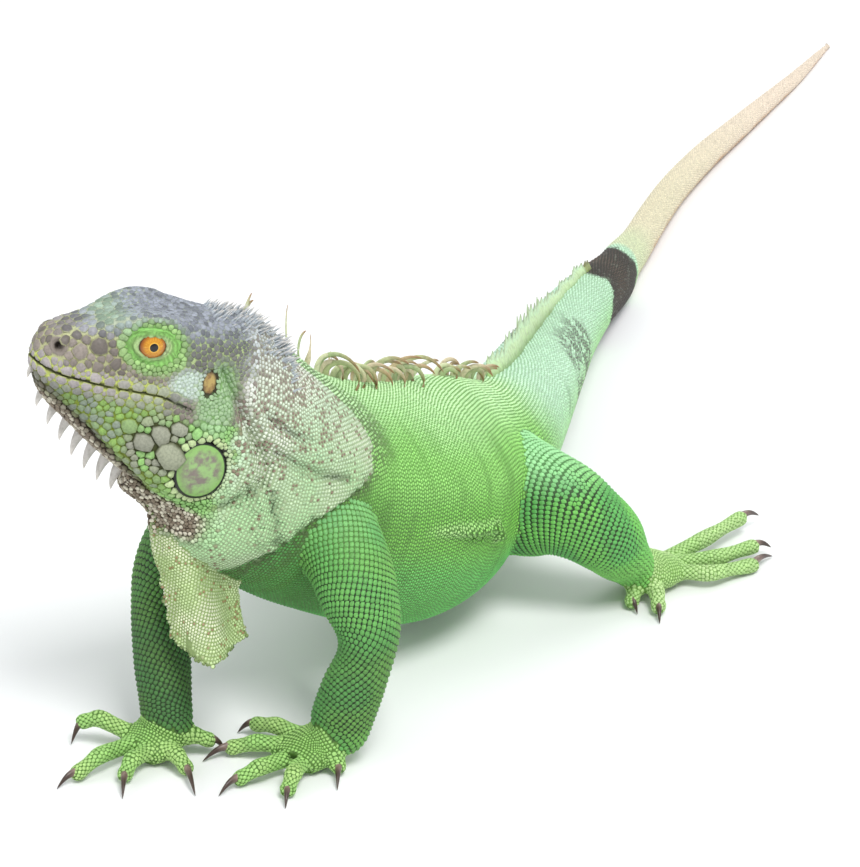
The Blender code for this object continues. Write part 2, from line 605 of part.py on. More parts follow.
DEWLAP_SEED = (393.0, -18.0, 62.0)


def loose_parts(thing):
    """A mesh for each body that hangs together in the thing."""
    whole = bmesh.new()
    whole.from_mesh(thing.data)
    whole.verts.ensure_lookup_table()
    label = [-1] * len(whole.verts)
    count = 0
    for first in whole.verts:
        if label[first.index] >= 0:
            continue
        label[first.index] = count
        waiting = [first]
        while waiting:
            for edge in waiting.pop().link_edges:
                for corner in edge.verts:
                    if label[corner.index] < 0:
                        label[corner.index] = count
                        waiting.append(corner)
        count += 1
    meshes = []
    for number in range(count):
        part = whole.copy()
        part.verts.ensure_lookup_table()
        others = [corner for corner in part.verts if label[corner.index] != number]
        bmesh.ops.delete(part, geom=others, context="VERTS")
        mesh = bpy.data.meshes.new("part")
        part.to_mesh(mesh)
        part.free()
        meshes.append(mesh)
    whole.free()
    return meshes


def nearest_part(meshes, seed):
    """The mesh whose vertices lie about the seed."""
    place = (np.array(seed) - PLAN_MIDDLE) * MM
    return min(meshes, key=lambda mesh: np.linalg.norm(middle_of(mesh) - place))


def middle_of(mesh):
    return np.mean([tuple(corner.co) for corner in mesh.vertices], axis=0)


# ---- materials ---------------------------------------------------------------------------------
COLOURS = {          # red, green, blue, roughness
    "head_skin": (0.24, 0.25, 0.26, 0.55),
    "neck_skin": (0.45, 0.55, 0.38, 0.6),
    "trunk_skin": (0.20, 0.50, 0.12, 0.55),
    "limb_skin": (0.08, 0.33, 0.09, 0.5),
    "foot_skin": (0.32, 0.48, 0.08, 0.5),
    "tail_skin": (0.40, 0.60, 0.36, 0.6),
    "dewlap_skin": (0.58, 0.62, 0.34, 0.6),
    "shield_plate": (0.22, 0.45, 0.16, 0.4),
    "ear_drum": (0.45, 0.25, 0.06, 0.35),
    "eye_ball": (0.75, 0.28, 0.02, 0.1),
    "claw_horn": (0.07, 0.04, 0.03, 0.35),
}
SKINS = {"head": "head_skin", "neck": "neck_skin", "trunk": "trunk_skin", "tail": "tail_skin",
         "hand": "foot_skin", "foot": "foot_skin"}


def material(name):
    """The Principled material of that name, made once."""
    if name in bpy.data.materials:
        return bpy.data.materials[name]
    finish = bpy.data.materials.new(name)
    finish.use_nodes = True
    shader = finish.node_tree.nodes["Principled BSDF"]
    red, green, blue, roughness = COLOURS[name]
    shader.inputs["Base Color"].default_value = (red, green, blue, 1.0)
    shader.inputs["Roughness"].default_value = roughness
    shader.inputs["Metallic"].default_value = 0.0
    finish.diffuse_color = (red, green, blue, 1.0)
    return finish


def add_node(name, mesh, finish):
    """A finished part of the animal."""
    mesh.name = name
    mesh.materials.clear()
    mesh.materials.append(material(finish))
    mesh.shade_smooth()
    mesh.set_sharp_from_angle(angle=math.radians(40.0))
    return add_object(name, mesh)


# ---- the animal --------------------------------------------------------------------------------
def fused_flesh():
    """The whole body as one closed skin, with its crest, trimmed flat where it stands."""
    flesh = add_guide("flesh", flesh_pieces())
    with_modifiers(flesh, [("REMESH", {"mode": "VOXEL", "voxel_size": FUSE_VOXEL * MM})])
    with_modifiers(flesh, [("SMOOTH", {"factor": 0.5, "iterations": SMOOTH_STEPS})])
    ratio = FLESH_TRIANGLES / sum(len(face.vertices) - 2 for face in flesh.data.polygons)
    with_modifiers(flesh, [("DECIMATE", {"ratio": ratio})])
    spikes = [rings_mesh(rings) for rings in crest_spikes() + gular_spikes() + [frill_rings()]]
    boolean(flesh, "UNION", [add_guide(f"spike_{k}", [piece]) for k, piece in enumerate(spikes)])
    sockets = [add_guide(f"socket_{name}", [piece])
               for name, piece in claw_pieces(grow=SOCKET_GAP).items()]
    for side in SIDES.values():
        for name, piece in head_organs(side, grow=SOCKET_GAP).items():
            sockets.append(add_guide(f"socket_{name}_{side}", [piece]))
    boolean(flesh, "DIFFERENCE", sockets + [floor_slab()])
    return flesh


def floor_slab():
    """A block whose top is the ground: it trims the soles, pads and tail flat."""
    mesh = bpy.data.meshes.new("floor_slab")
    shape = bmesh.new()
    size = Matrix.Diagonal((1.4, 0.6, FLOOR_SLAB * MM, 1.0))
    place = Matrix.Translation((0.0, 0.0, -0.5 * FLOOR_SLAB * MM))
    bmesh.ops.create_cube(shape, size=1.0, matrix=place @ size)
    shape.to_mesh(mesh)
    shape.free()
    slab = add_object("floor_slab", mesh)
    slab.hide_render = True
    slab.display_type = "WIRE"
    return slab


def skin_name(part):
    """The material of a part of the flesh."""
    return SKINS.get(part.split("_")[0], "limb_skin")


def main():
    for thing in list(bpy.data.objects):
        bpy.data.objects.remove(thing, do_unlink=True)

    flesh = fused_flesh()
    boolean(flesh, "DIFFERENCE", [add_guide("dewlap_cut", [disc(*DEWLAP_CUT)])])
    halves = loose_parts(flesh)
    dewlap = nearest_part(halves, DEWLAP_SEED)
    body = nearest_part(halves, SEEDS["trunk"])
    flesh.data = body
    boolean(flesh, "DIFFERENCE", [add_guide(f"cut_{k}", [disc(*cut)]) for k, cut in enumerate(BODY_CUTS)])
    parts = loose_parts(flesh)
    for name, seed in SEEDS.items():
        add_node(name, nearest_part(parts, seed), skin_name(name))
    add_node("dewlap", dewlap, "dewlap_skin")

    finishes = {"eye": "eye_ball", "ear": "ear_drum", "shield": "shield_plate"}
    for word, side in SIDES.items():
        for organ, piece in head_organs(side).items():
            name = f"{organ}_{word}"
            add_node(name, mesh_of([piece], name), finishes[organ])
    for name, piece in claw_pieces().items():
        add_node(name, mesh_of([piece], name), "claw_horn")


main()
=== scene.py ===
"""The looks of a life-size green iguana: one scaled skin with its crest, eyes, claws and plates.

Lengths in the tables are millimetres about the snout-to-tail line; row() turns them into the
model's metres.  The skin is fused from lofts, then folded and pitted by a few rules.  Its
scales grow from roots laid in staggered rows along each loft, and each scale fills the cell
that its neighbours leave it.  Skin and scales take their colours from the same markings.
"""
import math

import bmesh
import bpy
import numpy as np
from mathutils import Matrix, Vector
from mathutils.bvhtree import BVHTree
from mathutils.kdtree import KDTree


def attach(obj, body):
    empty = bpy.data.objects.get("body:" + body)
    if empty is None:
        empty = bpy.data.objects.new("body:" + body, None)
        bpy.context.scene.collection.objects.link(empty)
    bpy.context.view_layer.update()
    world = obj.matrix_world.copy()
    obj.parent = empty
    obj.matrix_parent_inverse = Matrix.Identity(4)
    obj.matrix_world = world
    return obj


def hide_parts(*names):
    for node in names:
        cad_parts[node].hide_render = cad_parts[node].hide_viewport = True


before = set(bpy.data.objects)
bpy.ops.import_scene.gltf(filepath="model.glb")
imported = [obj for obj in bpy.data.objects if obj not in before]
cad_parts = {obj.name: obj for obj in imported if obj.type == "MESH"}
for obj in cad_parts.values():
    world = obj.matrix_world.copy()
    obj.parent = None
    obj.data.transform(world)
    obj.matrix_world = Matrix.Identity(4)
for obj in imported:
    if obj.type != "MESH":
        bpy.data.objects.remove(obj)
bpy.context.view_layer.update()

MM = 0.001
PLAN_MIDDLE = np.array([-70.5, 18, 0])  # middle of the plan, in the tables' frame
UPWARD = np.array([0, 0, 1])
ALONG_X = np.array([1, 0, 0])
SEED = 7

# ---- the skin ----
FUSE_VOXEL = 1.5            # voxel of the remesh that fuses the lofts
SMOOTH_STEPS = 4            # rounds the joins between the lofts
BODY_TRIANGLES = 90000      # what the fused skin is reduced to before its head is refined
SOLE_SINK = 0.6             # how far hands and feet sink before their soles are flattened
COAT_DEPTH = 0.35           # how far the skin lies inside the tips of the coat
SOLE_LIFT = 0.3             # lowest point of the bare skin
EYE_FINE = 17               # the skin is finest this near to an eye

# ---- head ----
SNOUT = np.array([427, -86, 216])
HEAD_YAW = math.radians(-47)  # turned to its right
HEAD_PITCH = math.radians(15)  # snout raised
# Half sections from the snout back: distance from the snout, then crown height, brow (out,
# up), temple (out, up), lip (out, up), jaw (out, up) and throat height.
HEAD = [
    (3.2, 0, 1.5, -1, 2, -2.5, 2.5, -4, 2, -6, -7), (5, 5.5, 5, 4, 6.5, 1, 7, -3, 5, -8.5, -11),
    (9, 9.5, 7.3, 8.7, 9.7, 3, 10.7, -4.5, 8.5, -13, -18),
    (15, 12.5, 8.7, 12, 11.7, 4.5, 13.7, -6, 11, -17.5, -24.5),
    (25, 16, 10.3, 15.5, 14.3, 6, 16.3, -7.5, 13, -24.5, -31.5),
    (37, 20.5, 13.3, 21, 16.7, 8, 18.5, -8.5, 15.5, -33.5, -40.5),
    (51, 23, 17, 24.5, 19.7, 10, 21, -9.5, 18, -43, -49.5),
    (65, 23.5, 17, 23, 21.7, 9, 23, -11, 21, -50, -56.5),
    (79, 23.5, 15, 19.5, 21.7, 5, 24, -16, 23.5, -52, -69),
    (92, 23, 13, 17, 21, 3, 24, -18, 23, -50, -80), (104, 21, 12, 15, 19, 1, 21, -18, 20, -48, -80),
]
EYE_AT = (51, 13.6, 12)     # back, out and up from the snout
EAR_AT = (80.5, 21.3, -2)
EAR_SIZE = (3.4, 2.2, 5.6)  # half sizes: along, through, up
SHIELD_AT = (85, 23, -43)
SHIELD_SIZE = (12.6, 2.6, 14.4)
SHIELD_LEAN = math.radians(-14)

# ---- neck, trunk and tail ----
# Centre x, y, z, half width, height above and below the centre, and how square the upper and
# the lower half of the section are (2 is an ellipse)
SPINE_RISE = 0.45           # share of the slope that the sections follow
SPINE = [
    (392, -50, 180, 15, 20, 42, 2, 2), (372, -27, 165, 24, 49, 57, 1.8, 2),
    (345, -14, 140, 36, 53, 62, 1.6, 2), (312, -4, 117, 44, 48, 66, 1.6, 2.1),
    (275, 6, 100, 50, 45, 73, 1.6, 2.3), (238, 15, 86, 54, 45, 75, 1.6, 2.4),
    (200, 25, 78, 49, 41, 68, 1.6, 2.4), (165, 33, 70, 37, 33, 50, 1.7, 2.1),
    (120, 32, 63, 29, 29, 38, 1.9, 2), (70, 24, 54, 25.5, 27, 34, 1.9, 2),
    (10, 13, 42.5, 22.5, 24, 29, 1.9, 2), (-50, 3.5, 33, 19, 21, 25, 1.9, 2),
    (-110, -2, 25, 15.5, 18, 20.5, 1.9, 2), (-155, -3.5, 18.5, 12.7, 16, 18, 1.9, 2),
    (-185, -7.5, 15, 10.8, 13.5, 15.3, 2, 2), (-219, -10, 11.5, 9.4, 11.5, 12, 2, 2),
    (-265, -14, 10, 9, 10.3, 10.5, 2, 2), (-309, -16, 9.2, 8.5, 9.5, 9.7, 2, 2),
    (-361, -14.5, 8.2, 7.8, 8.6, 8.7, 2, 2), (-408, -10.5, 7.1, 6.8, 7.4, 7.6, 2, 2),
    (-455, -6.5, 5.9, 5.6, 6, 6.4, 2, 2), (-510, -2, 4.2, 4.2, 4.4, 4.7, 2, 2),
    (-560, -0.5, 2.2, 2.4, 2.4, 2.7, 2, 2), (-578, 0, 1.2, 1.5, 1.3, 1.6, 2, 2),
]

# ---- limbs ----
# Centre x, y, z, then half width and half depth; each limb ends in its palm
LIMBS = {
    "arm_left": [
        (320, -4, 108, 23, 25), (333, 16, 104, 21, 23), (343, 31, 92, 19, 20.5),
        (352, 41, 78, 17.5, 19), (357, 47, 65, 14.7, 16), (360, 46.5, 52, 13, 14),
        (363, 42, 38, 14.3, 13.8), (366, 38.5, 26, 14.5, 12.5), (368, 36, 17, 14, 10.5),
        (370, 32, 10, 10.5, 7),
    ],
    "arm_right": [
        (320, -20, 108, 20, 22), (334, -38, 102, 18, 20), (347, -49, 90, 16, 17.5),
        (357, -53, 78, 14.3, 15.5), (365, -52, 65, 13.3, 14.3), (372, -49, 52, 13.3, 14.3),
        (378, -46, 38, 13, 13.3), (383, -43, 26, 12.3, 11.7), (387, -41, 16, 12, 10),
        (390, -43, 9.5, 9, 6.5),
    ],
    "leg_left": [
        (180, 28, 62, 24, 30), (190, 50, 61, 24, 32), (194, 68, 59, 23, 30),
        (194, 86, 56, 21, 24.5), (190, 98, 48, 19, 20), (184, 105, 39, 17.5, 18),
        (177, 108.5, 29, 15, 15), (170, 111, 21, 13, 12), (163, 114, 13.5, 12.5, 10),
        (156, 117, 10, 9.5, 6),
    ],
    "leg_right": [
        (172, 26, 66, 22, 26), (166, 2, 64, 21, 25), (160, -20, 60, 19.5, 23),
        (153, -38, 53, 17.5, 20), (141, -47, 44, 16, 17), (129, -51, 34, 14.5, 15),
        (119, -54, 24, 12.5, 11.5), (112, -58, 14, 12, 9), (107, -63, 9, 9, 5.5),
    ],
}
# The palms' sections in the same order
PALMS = {
    "hand_left": [
        (367, 34, 15, 13.5, 10.5), (370, 28, 9.5, 15, 9), (376, 22.5, 7, 15, 7.6),
        (384, 20, 6, 13, 6.2),
    ],
    "hand_right": [
        (385, -43, 15, 12.5, 10.5), (388, -45, 9.5, 14, 9), (394, -47, 7, 14, 7.6),
        (400, -49.5, 6, 12, 6.2),
    ],
    "foot_left": [
        (166, 112, 17, 12.5, 10.5), (159, 115, 12.5, 14, 11), (151, 119, 9.5, 14.5, 9.8),
        (142, 123, 7, 12, 7.2),
    ],
    "foot_right": [
        (111, -59, 14, 12, 10), (105, -66, 9.5, 13, 8.5), (99, -73, 7, 13.5, 7.3),
        (93, -79, 5.5, 12, 6),
    ],
}
# Each digit's root, its raised joint, its last pad and the tip of its claw
DIGITS = {
    "hand_left": [
        ((366, 17, 9.5), (362, 3, 10), (359, -8, 7), (360, -17, 0.8)),
        ((374, 11, 8), (378, -1, 8.5), (380, -12, 5), (390.5, -22, 0.6)),
        ((386, 17, 7.5), (399, 9, 8.5), (405, 2, 4.6), (417.5, -3, 0.6)),
        ((388, 25, 7.5), (399, 26, 8.3), (407, 26.5, 4.6), (417.5, 29.5, 0.6)),
        ((373, 33, 8), (378, 39, 8), (380.5, 41, 5), (394, 45.5, 0.6)),
    ],
    "hand_right": [
        ((387, -36, 8.5), (385, -28, 11), (382, -22, 8), (379, -15, 1.5)),
        ((395, -39, 8), (401, -30, 8.5), (405, -24, 5), (421, -13, 0.6)),
        ((401, -45, 7.5), (413, -47.5, 9), (420, -48, 4.8), (434.5, -43, 0.6)),
        ((397, -54, 8), (415, -62.5, 9.5), (426, -69, 4.8), (436.5, -74.5, 0.6)),
        ((390, -59, 9.5), (391, -73, 14.5), (391.5, -81, 11.5), (397.5, -84.5, 1.5)),
    ],
    "foot_left": [
        ((164, 113, 8.5), (174, 116, 8), (180, 116.5, 5.2), (184.5, 121, 0.7)),
        ((160, 119, 8.5), (173, 127, 8.5), (181, 130.5, 5), (190, 134, 0.6)),
        ((148, 125, 8), (144, 145, 8.3), (122, 160, 4.6), (103, 165, 0.8)),
        ((140, 125, 8), (127, 144, 8.8), (108, 156, 7.5), (99, 163, 3.5)),
        ((140, 119, 8.5), (113, 133, 10.5), (85, 142.5, 10), (70, 148, 5)),
    ],
    "foot_right": [
        ((112, -67, 7.5), (117, -71, 7.5), (120, -75, 4.4), (124, -81, 0.6)),
        ((106, -76, 7), (112, -85, 8.5), (116, -93, 4.4), (120, -102, 0.6)),
        ((95, -85, 7), (91, -100, 9.5), (86, -114, 4.2), (80, -129, 0.6)),
        ((88, -83, 7), (74, -96, 9.5), (60, -109, 4.2), (48, -121, 0.6)),
        ((88, -75, 7), (69, -76, 9.5), (52, -79, 4.2), (37, -84, 0.6)),
    ],
}
DIGIT_RADIUS = 4.1
DIGIT_TAPER = 0.88
CLAW_ROOT = (1.9, 2.3)      # half width and half height where the claw leaves the digit
CLAW_ARCH = 2.4

# ---- dewlap: a folded sheet of skin under the throat ----
DEWLAP_TOP = [(392, -47, 134), (384, -36, 120), (374, -26, 106), (362, -16, 92)]
DEWLAP_HEM = [(397, -33, 61), (397, -23, 56), (391, -12, 56), (381, 0, 61)]
DEWLAP_FOLD = 6             # how far the folds swing from side to side
DEWLAP_THICK = (5, 2.2)     # at the throat and at the hem

NOSTRIL_AT = (11, 9, 5)     # back, out and up
# The gap of the mouth, back and up from the snout
MOUTH = [(-2, -3), (4, -4.5), (12, -7), (34, -9), (47, -9.5), (59, -10), (74, -15)]
EYE_BALL = 8.7              # radius of the ball that shows
EYE_OPENING = (5.6, 3.7)    # half sizes of the gap between the lids, along and up
LID_REACH = 2.7             # the lids' folds end at this many opening sizes
LID_FOLD = 0.36             # and follow one another at this many
LID_EDGE = 1.12             # the first fold's crest, in opening sizes
BIG_PLATE = 2.3             # half length past which a scale has its place to itself
HEAD_SMOOTH = 3             # rounds of smoothing after the head is refined
HEAD_BACK = 108             # the head is refined as far as this behind the snout
BROW_LINE = [(36, 19), (46, 24), (61, 23.5)]
# Folds on both sides of the head (back, up), how far they stand out and their half width
HEAD_FOLDS = [
    ([(4, -11.5), (24, -25), (45, -41), (66, -57)], -1.4, 1.2),
    ([(24, -21), (45, -36.5), (66, -53)], 0.7, 2.2),
    ([(62, -5), (74, -9), (79, -18)], 0.5, 2),
]
# Folds of the neck and flank, mirrored to the other side, in the tables' frame; neck_colours also
# paints shade into the sunken ones
BODY_FOLDS = [
    ([(384.4, -9.1, 196.7), (381.1, -4.1, 178.9), (377.7, 0.5, 163.4), (374.5, 5.2, 149.3),
      (376.7, 4, 140.1), (382.8, -2.8, 134.4), (387.8, -10.9, 130.8)], -4.6, 2.6),
    ([(377.5, -1.5, 186), (373, 3.5, 168), (369.8, 8, 154)], 1.8, 3),
    ([(370.3, 8.4, 153.9), (362.2, 15.7, 144.4), (353.1, 22.6, 137.4), (339.7, 29.5, 130.3)],
     -2.8, 2.2),
    ([(369.5, 7, 162), (360, 14.5, 152), (348, 22, 145), (336, 28, 139)], 1.6, 3.2),
    ([(370, 5.3, 171), (362.5, 11, 161), (352, 17, 153)], -1.6, 1.8),
    ([(378.3, 2.2, 137.1), (376.8, 2.4, 124.4), (374.9, 1.9, 112.4)], 2.6, 2.6),
    ([(372.5, 7.5, 134), (371, 7.5, 122), (369, 7, 108)], -2.4, 2),
]
FLANK_FOLD = [(292, 54, 84), (271, 60.4, 76.7), (256, 64.5, 71.5), (243, 67.5, 67.5),
              (240, 68, 61)]
# The edge of the loose skin over the shoulder: height, then x of the edge
SHAWL = [(60, 392), (100, 374), (115, 358), (121, 340), (127, 324),
         (138, 314), (150, 314), (165, 322), (182, 336)]
SHAWL_STEP = 2.2
FLANK_RISE = 5.2            # how far the frilled fold of a flank stands out
LOFT_SLACK = 1.3            # roots deeper than this below the fused skin are inside it
GAP_DENSITY = 0.5           # tries for each square millimetre

# ---- crest ----
# Runs of spines from the nape back: first and last x, count, length, half width, how far each
# curls over (radians) and how far it turns to the left
CREST_RUNS = [
    (352, 349, 2, 13, 1.5, 0.9, -0.1), (318, 306, 3, 26, 1.5, 1.3, -0.2),
    (300, 226, 26, 28, 1.6, 3.4, 0.7), (205, 168, 14, 18, 1.6, 3.4, 0.7),
]
FRILL = (152, -112, 54, 14.5, 0.9)  # first and last x, teeth, height and half thickness
NAPE_FUZZ = (260, 4.6)      # count and length
GULAR_SPIKES = (5, 58, 8, 5, 13.5)  # back: first and last; count; smallest and largest


# ---- small tools ----
def unit(vector):
    return vector / np.linalg.norm(vector)


def units(vectors):
    return vectors / np.maximum(np.linalg.norm(vectors, axis=-1, keepdims=True), 1e-9)


def ramp(low, high, value):
    """0 below low, 1 above high, smooth between."""
    share = np.clip((value - low) / (high - low), 0, 1)
    return share * share * (3 - 2 * share)


def bell(value, half):
    return np.exp(-(value / half) ** 2)


def mix(first, second, share):
    share = np.asarray(share)[..., None]
    return first * (1 - share) + second * share


def row(points):
    """Metres in the model's frame from millimetres in the tables' frame."""
    return (np.asarray(points, float) - PLAN_MIDDLE) * MM


def shade(red, green, blue):
    """A colour as the eye names it (0 to 255), as linear light."""
    value = np.array([red, green, blue]) / 255
    return np.where(value <= 0.04045, value / 12.92, ((value + 0.055) / 1.055) ** 2.4)


def cloud(points, size, seed=0):
    """Smooth noise from -1 to 1 that swings about once in each size of millimetres."""
    cell = np.asarray(points, float) / size
    base = np.floor(cell)
    share = cell - base
    share = share * share * (3 - 2 * share)
    total = np.zeros(len(cell))
    for corner in np.ndindex(2, 2, 2):
        spot = base + corner
        grain = np.sin(spot @ np.array([12.9898, 78.233, 37.719]) + seed * 17.31) * 43758.5453
        weight = np.prod(np.where(np.array(corner) == 1, share, 1 - share), axis=1)
        total += (grain - np.floor(grain)) * weight
    return total * 2 - 1


def summed(steps):
    return np.concatenate([[0], np.cumsum(steps)])


def travelled(points):
    """How far along the line of points each of them lies."""
    return summed(np.linalg.norm(np.diff(points, axis=0), axis=1))


def across_line(at, places, points):
    """Points of a line at some places along it."""
    return np.column_stack([np.interp(at, places, points[:, axis]) for axis in range(3)])


def way_from(points, line):
    """Distance of each flat point to a line of points."""
    nearest = np.full(len(points), np.inf)
    line = np.array(line, float)
    for start, end in zip(line, line[1:]):
        run = end - start
        share = np.clip(((points - start) @ run) / (run @ run), 0, 1)
        nearest = np.minimum(nearest, np.linalg.norm(points - start - share[:, None] * run, axis=1))
    return nearest


# ---- lofts ----
def between(before, start, end, after, t):
    """A point t of the way from start to end on a smooth curve through all four."""
    return 0.5 * (2 * start + (end - before) * t
                  + (2 * before - 5 * start + 4 * end - after) * t ** 2
                  + (3 * start - before - 3 * end + after) * t ** 3)


def through(rows, steps):
    """Points on a smooth curve through the rows, with so many steps from row to row."""
    rows = np.array(rows, float)
    ends = np.vstack([2 * rows[0] - rows[1], rows, 2 * rows[-1] - rows[-2]])
    points = [between(*four, step / steps) for four in zip(ends, ends[1:], ends[2:], ends[3:])
              for step in range(steps)]
    return np.array(points + [rows[-1]])


def head_axes():
    """The head's own forward, left and up directions."""
    left = np.array([-math.sin(HEAD_YAW), math.cos(HEAD_YAW), 0])
    forward = np.array([left[1] * math.cos(HEAD_PITCH), -left[0] * math.cos(HEAD_PITCH),
                        math.sin(HEAD_PITCH)])
    return forward, left, np.cross(forward, left)


FORWARD, LEFT, ABOVE = head_axes()


def head_point(back, out, up):
    """A point on the head, from its distances back, left and up from the snout."""
    return SNOUT - FORWARD * back + LEFT * out + ABOVE * up


def on_head(points):
    """Each point's distances back, left and up from the snout."""
    away = points - SNOUT
    return -(away @ FORWARD), away @ LEFT, away @ ABOVE


def section_rings(rows, steps, around, rise=1, level=UPWARD):
    """Superellipse rings square to the smooth line through the rows."""
    rows = through(rows, steps)
    along = np.gradient(rows[:, :3], axis=0)
    along[:, 2] *= rise
    angle = 2 * np.pi * np.arange(around) / around
    across, height = np.cos(angle), np.sin(angle)
    rings = []
    for centre, way, (wide, above, below, top, bottom) in zip(rows[:, :3], along, rows[:, 3:]):
        way = unit(way)
        up = unit(level - level.dot(way) * way)
        side = np.cross(up, way)
        power = 2 / np.where(height >= 0, top, bottom)
        reach = np.where(height >= 0, above, below)
        out = wide * np.sign(across) * np.abs(across) ** power
        rise_by = reach * np.sign(height) * np.abs(height) ** power
        rings.append(centre + out[:, None] * side + rise_by[:, None] * up)
    return rings


def tube_rings(rows, steps, around, level=UPWARD):
    """Elliptical rings through rows of centre, half width and half depth."""
    round_rows = [(x, y, z, wide, deep, deep, 2, 2) for x, y, z, wide, deep in rows]
    return section_rings(round_rows, steps, around, level=level)


def head_rings(steps, around):
    """Rings of the head: crown, brow, temple, lip, jaw and throat, the same on both sides."""
    rings = []
    for back, crown, *corners, throat in through(HEAD, steps):
        half = list(zip(corners[0::2], corners[1::2]))
        outline = [(0, crown)] + half + [(0, throat)] + [(-out, up) for out, up in half[::-1]]
        closed = np.array(outline[-1:] + outline + outline[:2])
        ring = []
        for k in range(around):
            corner, t = divmod(k * len(outline) / around, 1)
            ring.append(head_point(back, *between(*closed[int(corner):int(corner) + 4], t)))
        rings.append(np.array(ring))
    return rings


def digit_rings(root, joint, pad, radius=DIGIT_RADIUS):
    """Rings of a digit: arched up to its joint, swollen there and at its last pad."""
    root, joint, pad = (np.array(p) for p in (root, joint, pad))
    thin = radius * DIGIT_TAPER
    rows = [
        (*root, radius * 1.1, radius),
        (*((root + joint) / 2), radius, radius),
        (*joint, radius * 1.1, radius * 1.08),
        (*((joint + pad) / 2), thin, thin),
        (*pad, thin * 1.15, thin * 1.12),
        (*(pad + unit(pad - joint) * thin * 0.9), thin * 0.7, thin * 0.7),
    ]
    return tube_rings(rows, 4, 24)


def dewlap_rings(steps=14, levels=22):
    """Rings round a thin folded sheet, from the throat down to the hem."""
    top = through(DEWLAP_TOP, steps)
    hem = through(DEWLAP_HEM, steps)
    along = np.gradient(top + hem, axis=0)
    side = np.array([unit(np.cross(UPWARD, way)) for way in along])
    run = np.linspace(0, 1, len(top))[:, None]
    rings = []
    for drop in np.linspace(0, 1, levels):
        fold = DEWLAP_FOLD * np.sin(2 * np.pi * run * 1.25 + 0.4) * math.sin(drop * np.pi / 2)
        line = top * (1 - drop) + hem * drop + side * fold
        half = 0.5 * (DEWLAP_THICK[0] * (1 - drop) + DEWLAP_THICK[1] * drop)
        rings.append(np.vstack([line + side * half, (line - side * half)[::-1]]))
    return rings


def slanted(rings, slant, turn):
    """The rings sheared so that one side of each lies further down the loft."""
    rings = np.array(rings)
    travel = travelled(rings.mean(axis=1))
    sheared = rings.copy()
    for k in range(rings.shape[1]):
        spots = travel + slant * math.cos(2 * math.pi * k / rings.shape[1] + turn)
        sheared[:, k] = across_line(spots, travel, rings[:, k])
    return sheared


def sunk(rings):
    return [ring - UPWARD * SOLE_SINK for ring in rings]


SIDES = {"left": 1, "right": -1}
LOFTS = {"spine": section_rings(SPINE, 10, 72, SPINE_RISE), "head": head_rings(6, 72)}
for limb, rows in LIMBS.items():
    LOFTS[limb] = tube_rings(rows, 6, 48, ALONG_X if limb.startswith("arm") else UPWARD)
for limb, rows in PALMS.items():
    LOFTS[f"palm_{limb}"] = sunk(tube_rings(rows, 4, 32))
LOFTS["dewlap"] = dewlap_rings()
for limb, digits in DIGITS.items():
    for number, digit in enumerate(digits):
        LOFTS[f"digit_{limb}_{number + 1}"] = sunk(digit_rings(*digit[:3]))


# ---- making meshes ----
def loft_mesh(rings):
    """Vertices and faces of a closed skin over rings of the same number of points."""
    around = len(rings[0])
    last = (len(rings) - 1) * around
    faces = [tuple(reversed(range(around))), tuple(range(last, last + around))]
    for start in range(0, last, around):
        for k in range(around):
            n = (k + 1) % around
            faces.append((start + k, start + n, start + around + n, start + around + k))
    return np.concatenate(rings), faces


def joined(pieces):
    """One set of vertices and faces from several."""
    faces = []
    count = 0
    for points, polygons in pieces:
        faces += [tuple(count + corner for corner in polygon) for polygon in polygons]
        count += len(points)
    return np.concatenate([points for points, _ in pieces]), faces


def mesh_of(name, points, faces=(), edges=()):
    """A mesh in metres from points in millimetres, its faces turned outwards."""
    mesh = bpy.data.meshes.new(name)
    mesh.from_pydata(row(points).tolist(), list(edges), list(faces))
    if len(faces):
        shape = bmesh.new()
        shape.from_mesh(mesh)
        bmesh.ops.recalc_face_normals(shape, faces=shape.faces)
        shape.to_mesh(mesh)
        shape.free()
    return mesh


def add_object(name, mesh, hidden=False):
    thing = bpy.data.objects.new(name, mesh)
    bpy.context.scene.collection.objects.link(thing)
    thing.hide_render = hidden
    return thing


def evaluated(thing):
    """A new mesh of the thing as its modifiers leave it."""
    graph = bpy.context.evaluated_depsgraph_get()
    return bpy.data.meshes.new_from_object(thing.evaluated_get(graph))


def baked(thing):
    """The thing's mesh as its modifiers leave it; the modifiers are removed."""
    mesh = evaluated(thing)
    thing.modifiers.clear()
    thing.data = mesh
    return mesh


def finished(name, mesh, material, nodes=()):
    """A piece of the model that rides on the root and stands for the nodes it replaces."""
    mesh.materials.clear()
    mesh.materials.append(material)
    mesh.shade_smooth()
    piece = add_object(name, mesh)
    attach(piece, "root")
    if nodes:
        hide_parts(*nodes)
    return piece


def carry(mesh, **fields):
    """Store one value of each field for every vertex of the mesh."""
    for name, values in fields.items():
        values = np.asarray(values, np.int32 if name == "spoke" else np.float32)
        kind, member = ("FLOAT", "value") if values.ndim == 1 else ("FLOAT_VECTOR", "vector")
        if name == "spoke":
            kind = "INT"
        elif name in ("tone", "seam"):
            kind, member = "FLOAT_COLOR", "color"
            values = np.column_stack([values, np.ones(len(values), np.float32)])
        mesh.attributes.new(name, kind, "POINT").data.foreach_set(member, values.ravel())


# ---- the skin's shape ----
def spine_middle(x):
    """Centre y and z, and the height above the centre, of the trunk or tail at x."""
    rows = np.array(SPINE)[::-1]
    return [np.interp(x, rows[:, 0], rows[:, k]) for k in (1, 2, 4)]


def mirrored(points):
    """The points on the other side of the body's bent middle plane."""
    points = points.copy()
    points[:, 1] = 2 * spine_middle(points[:, 0])[0] - points[:, 1]
    return points


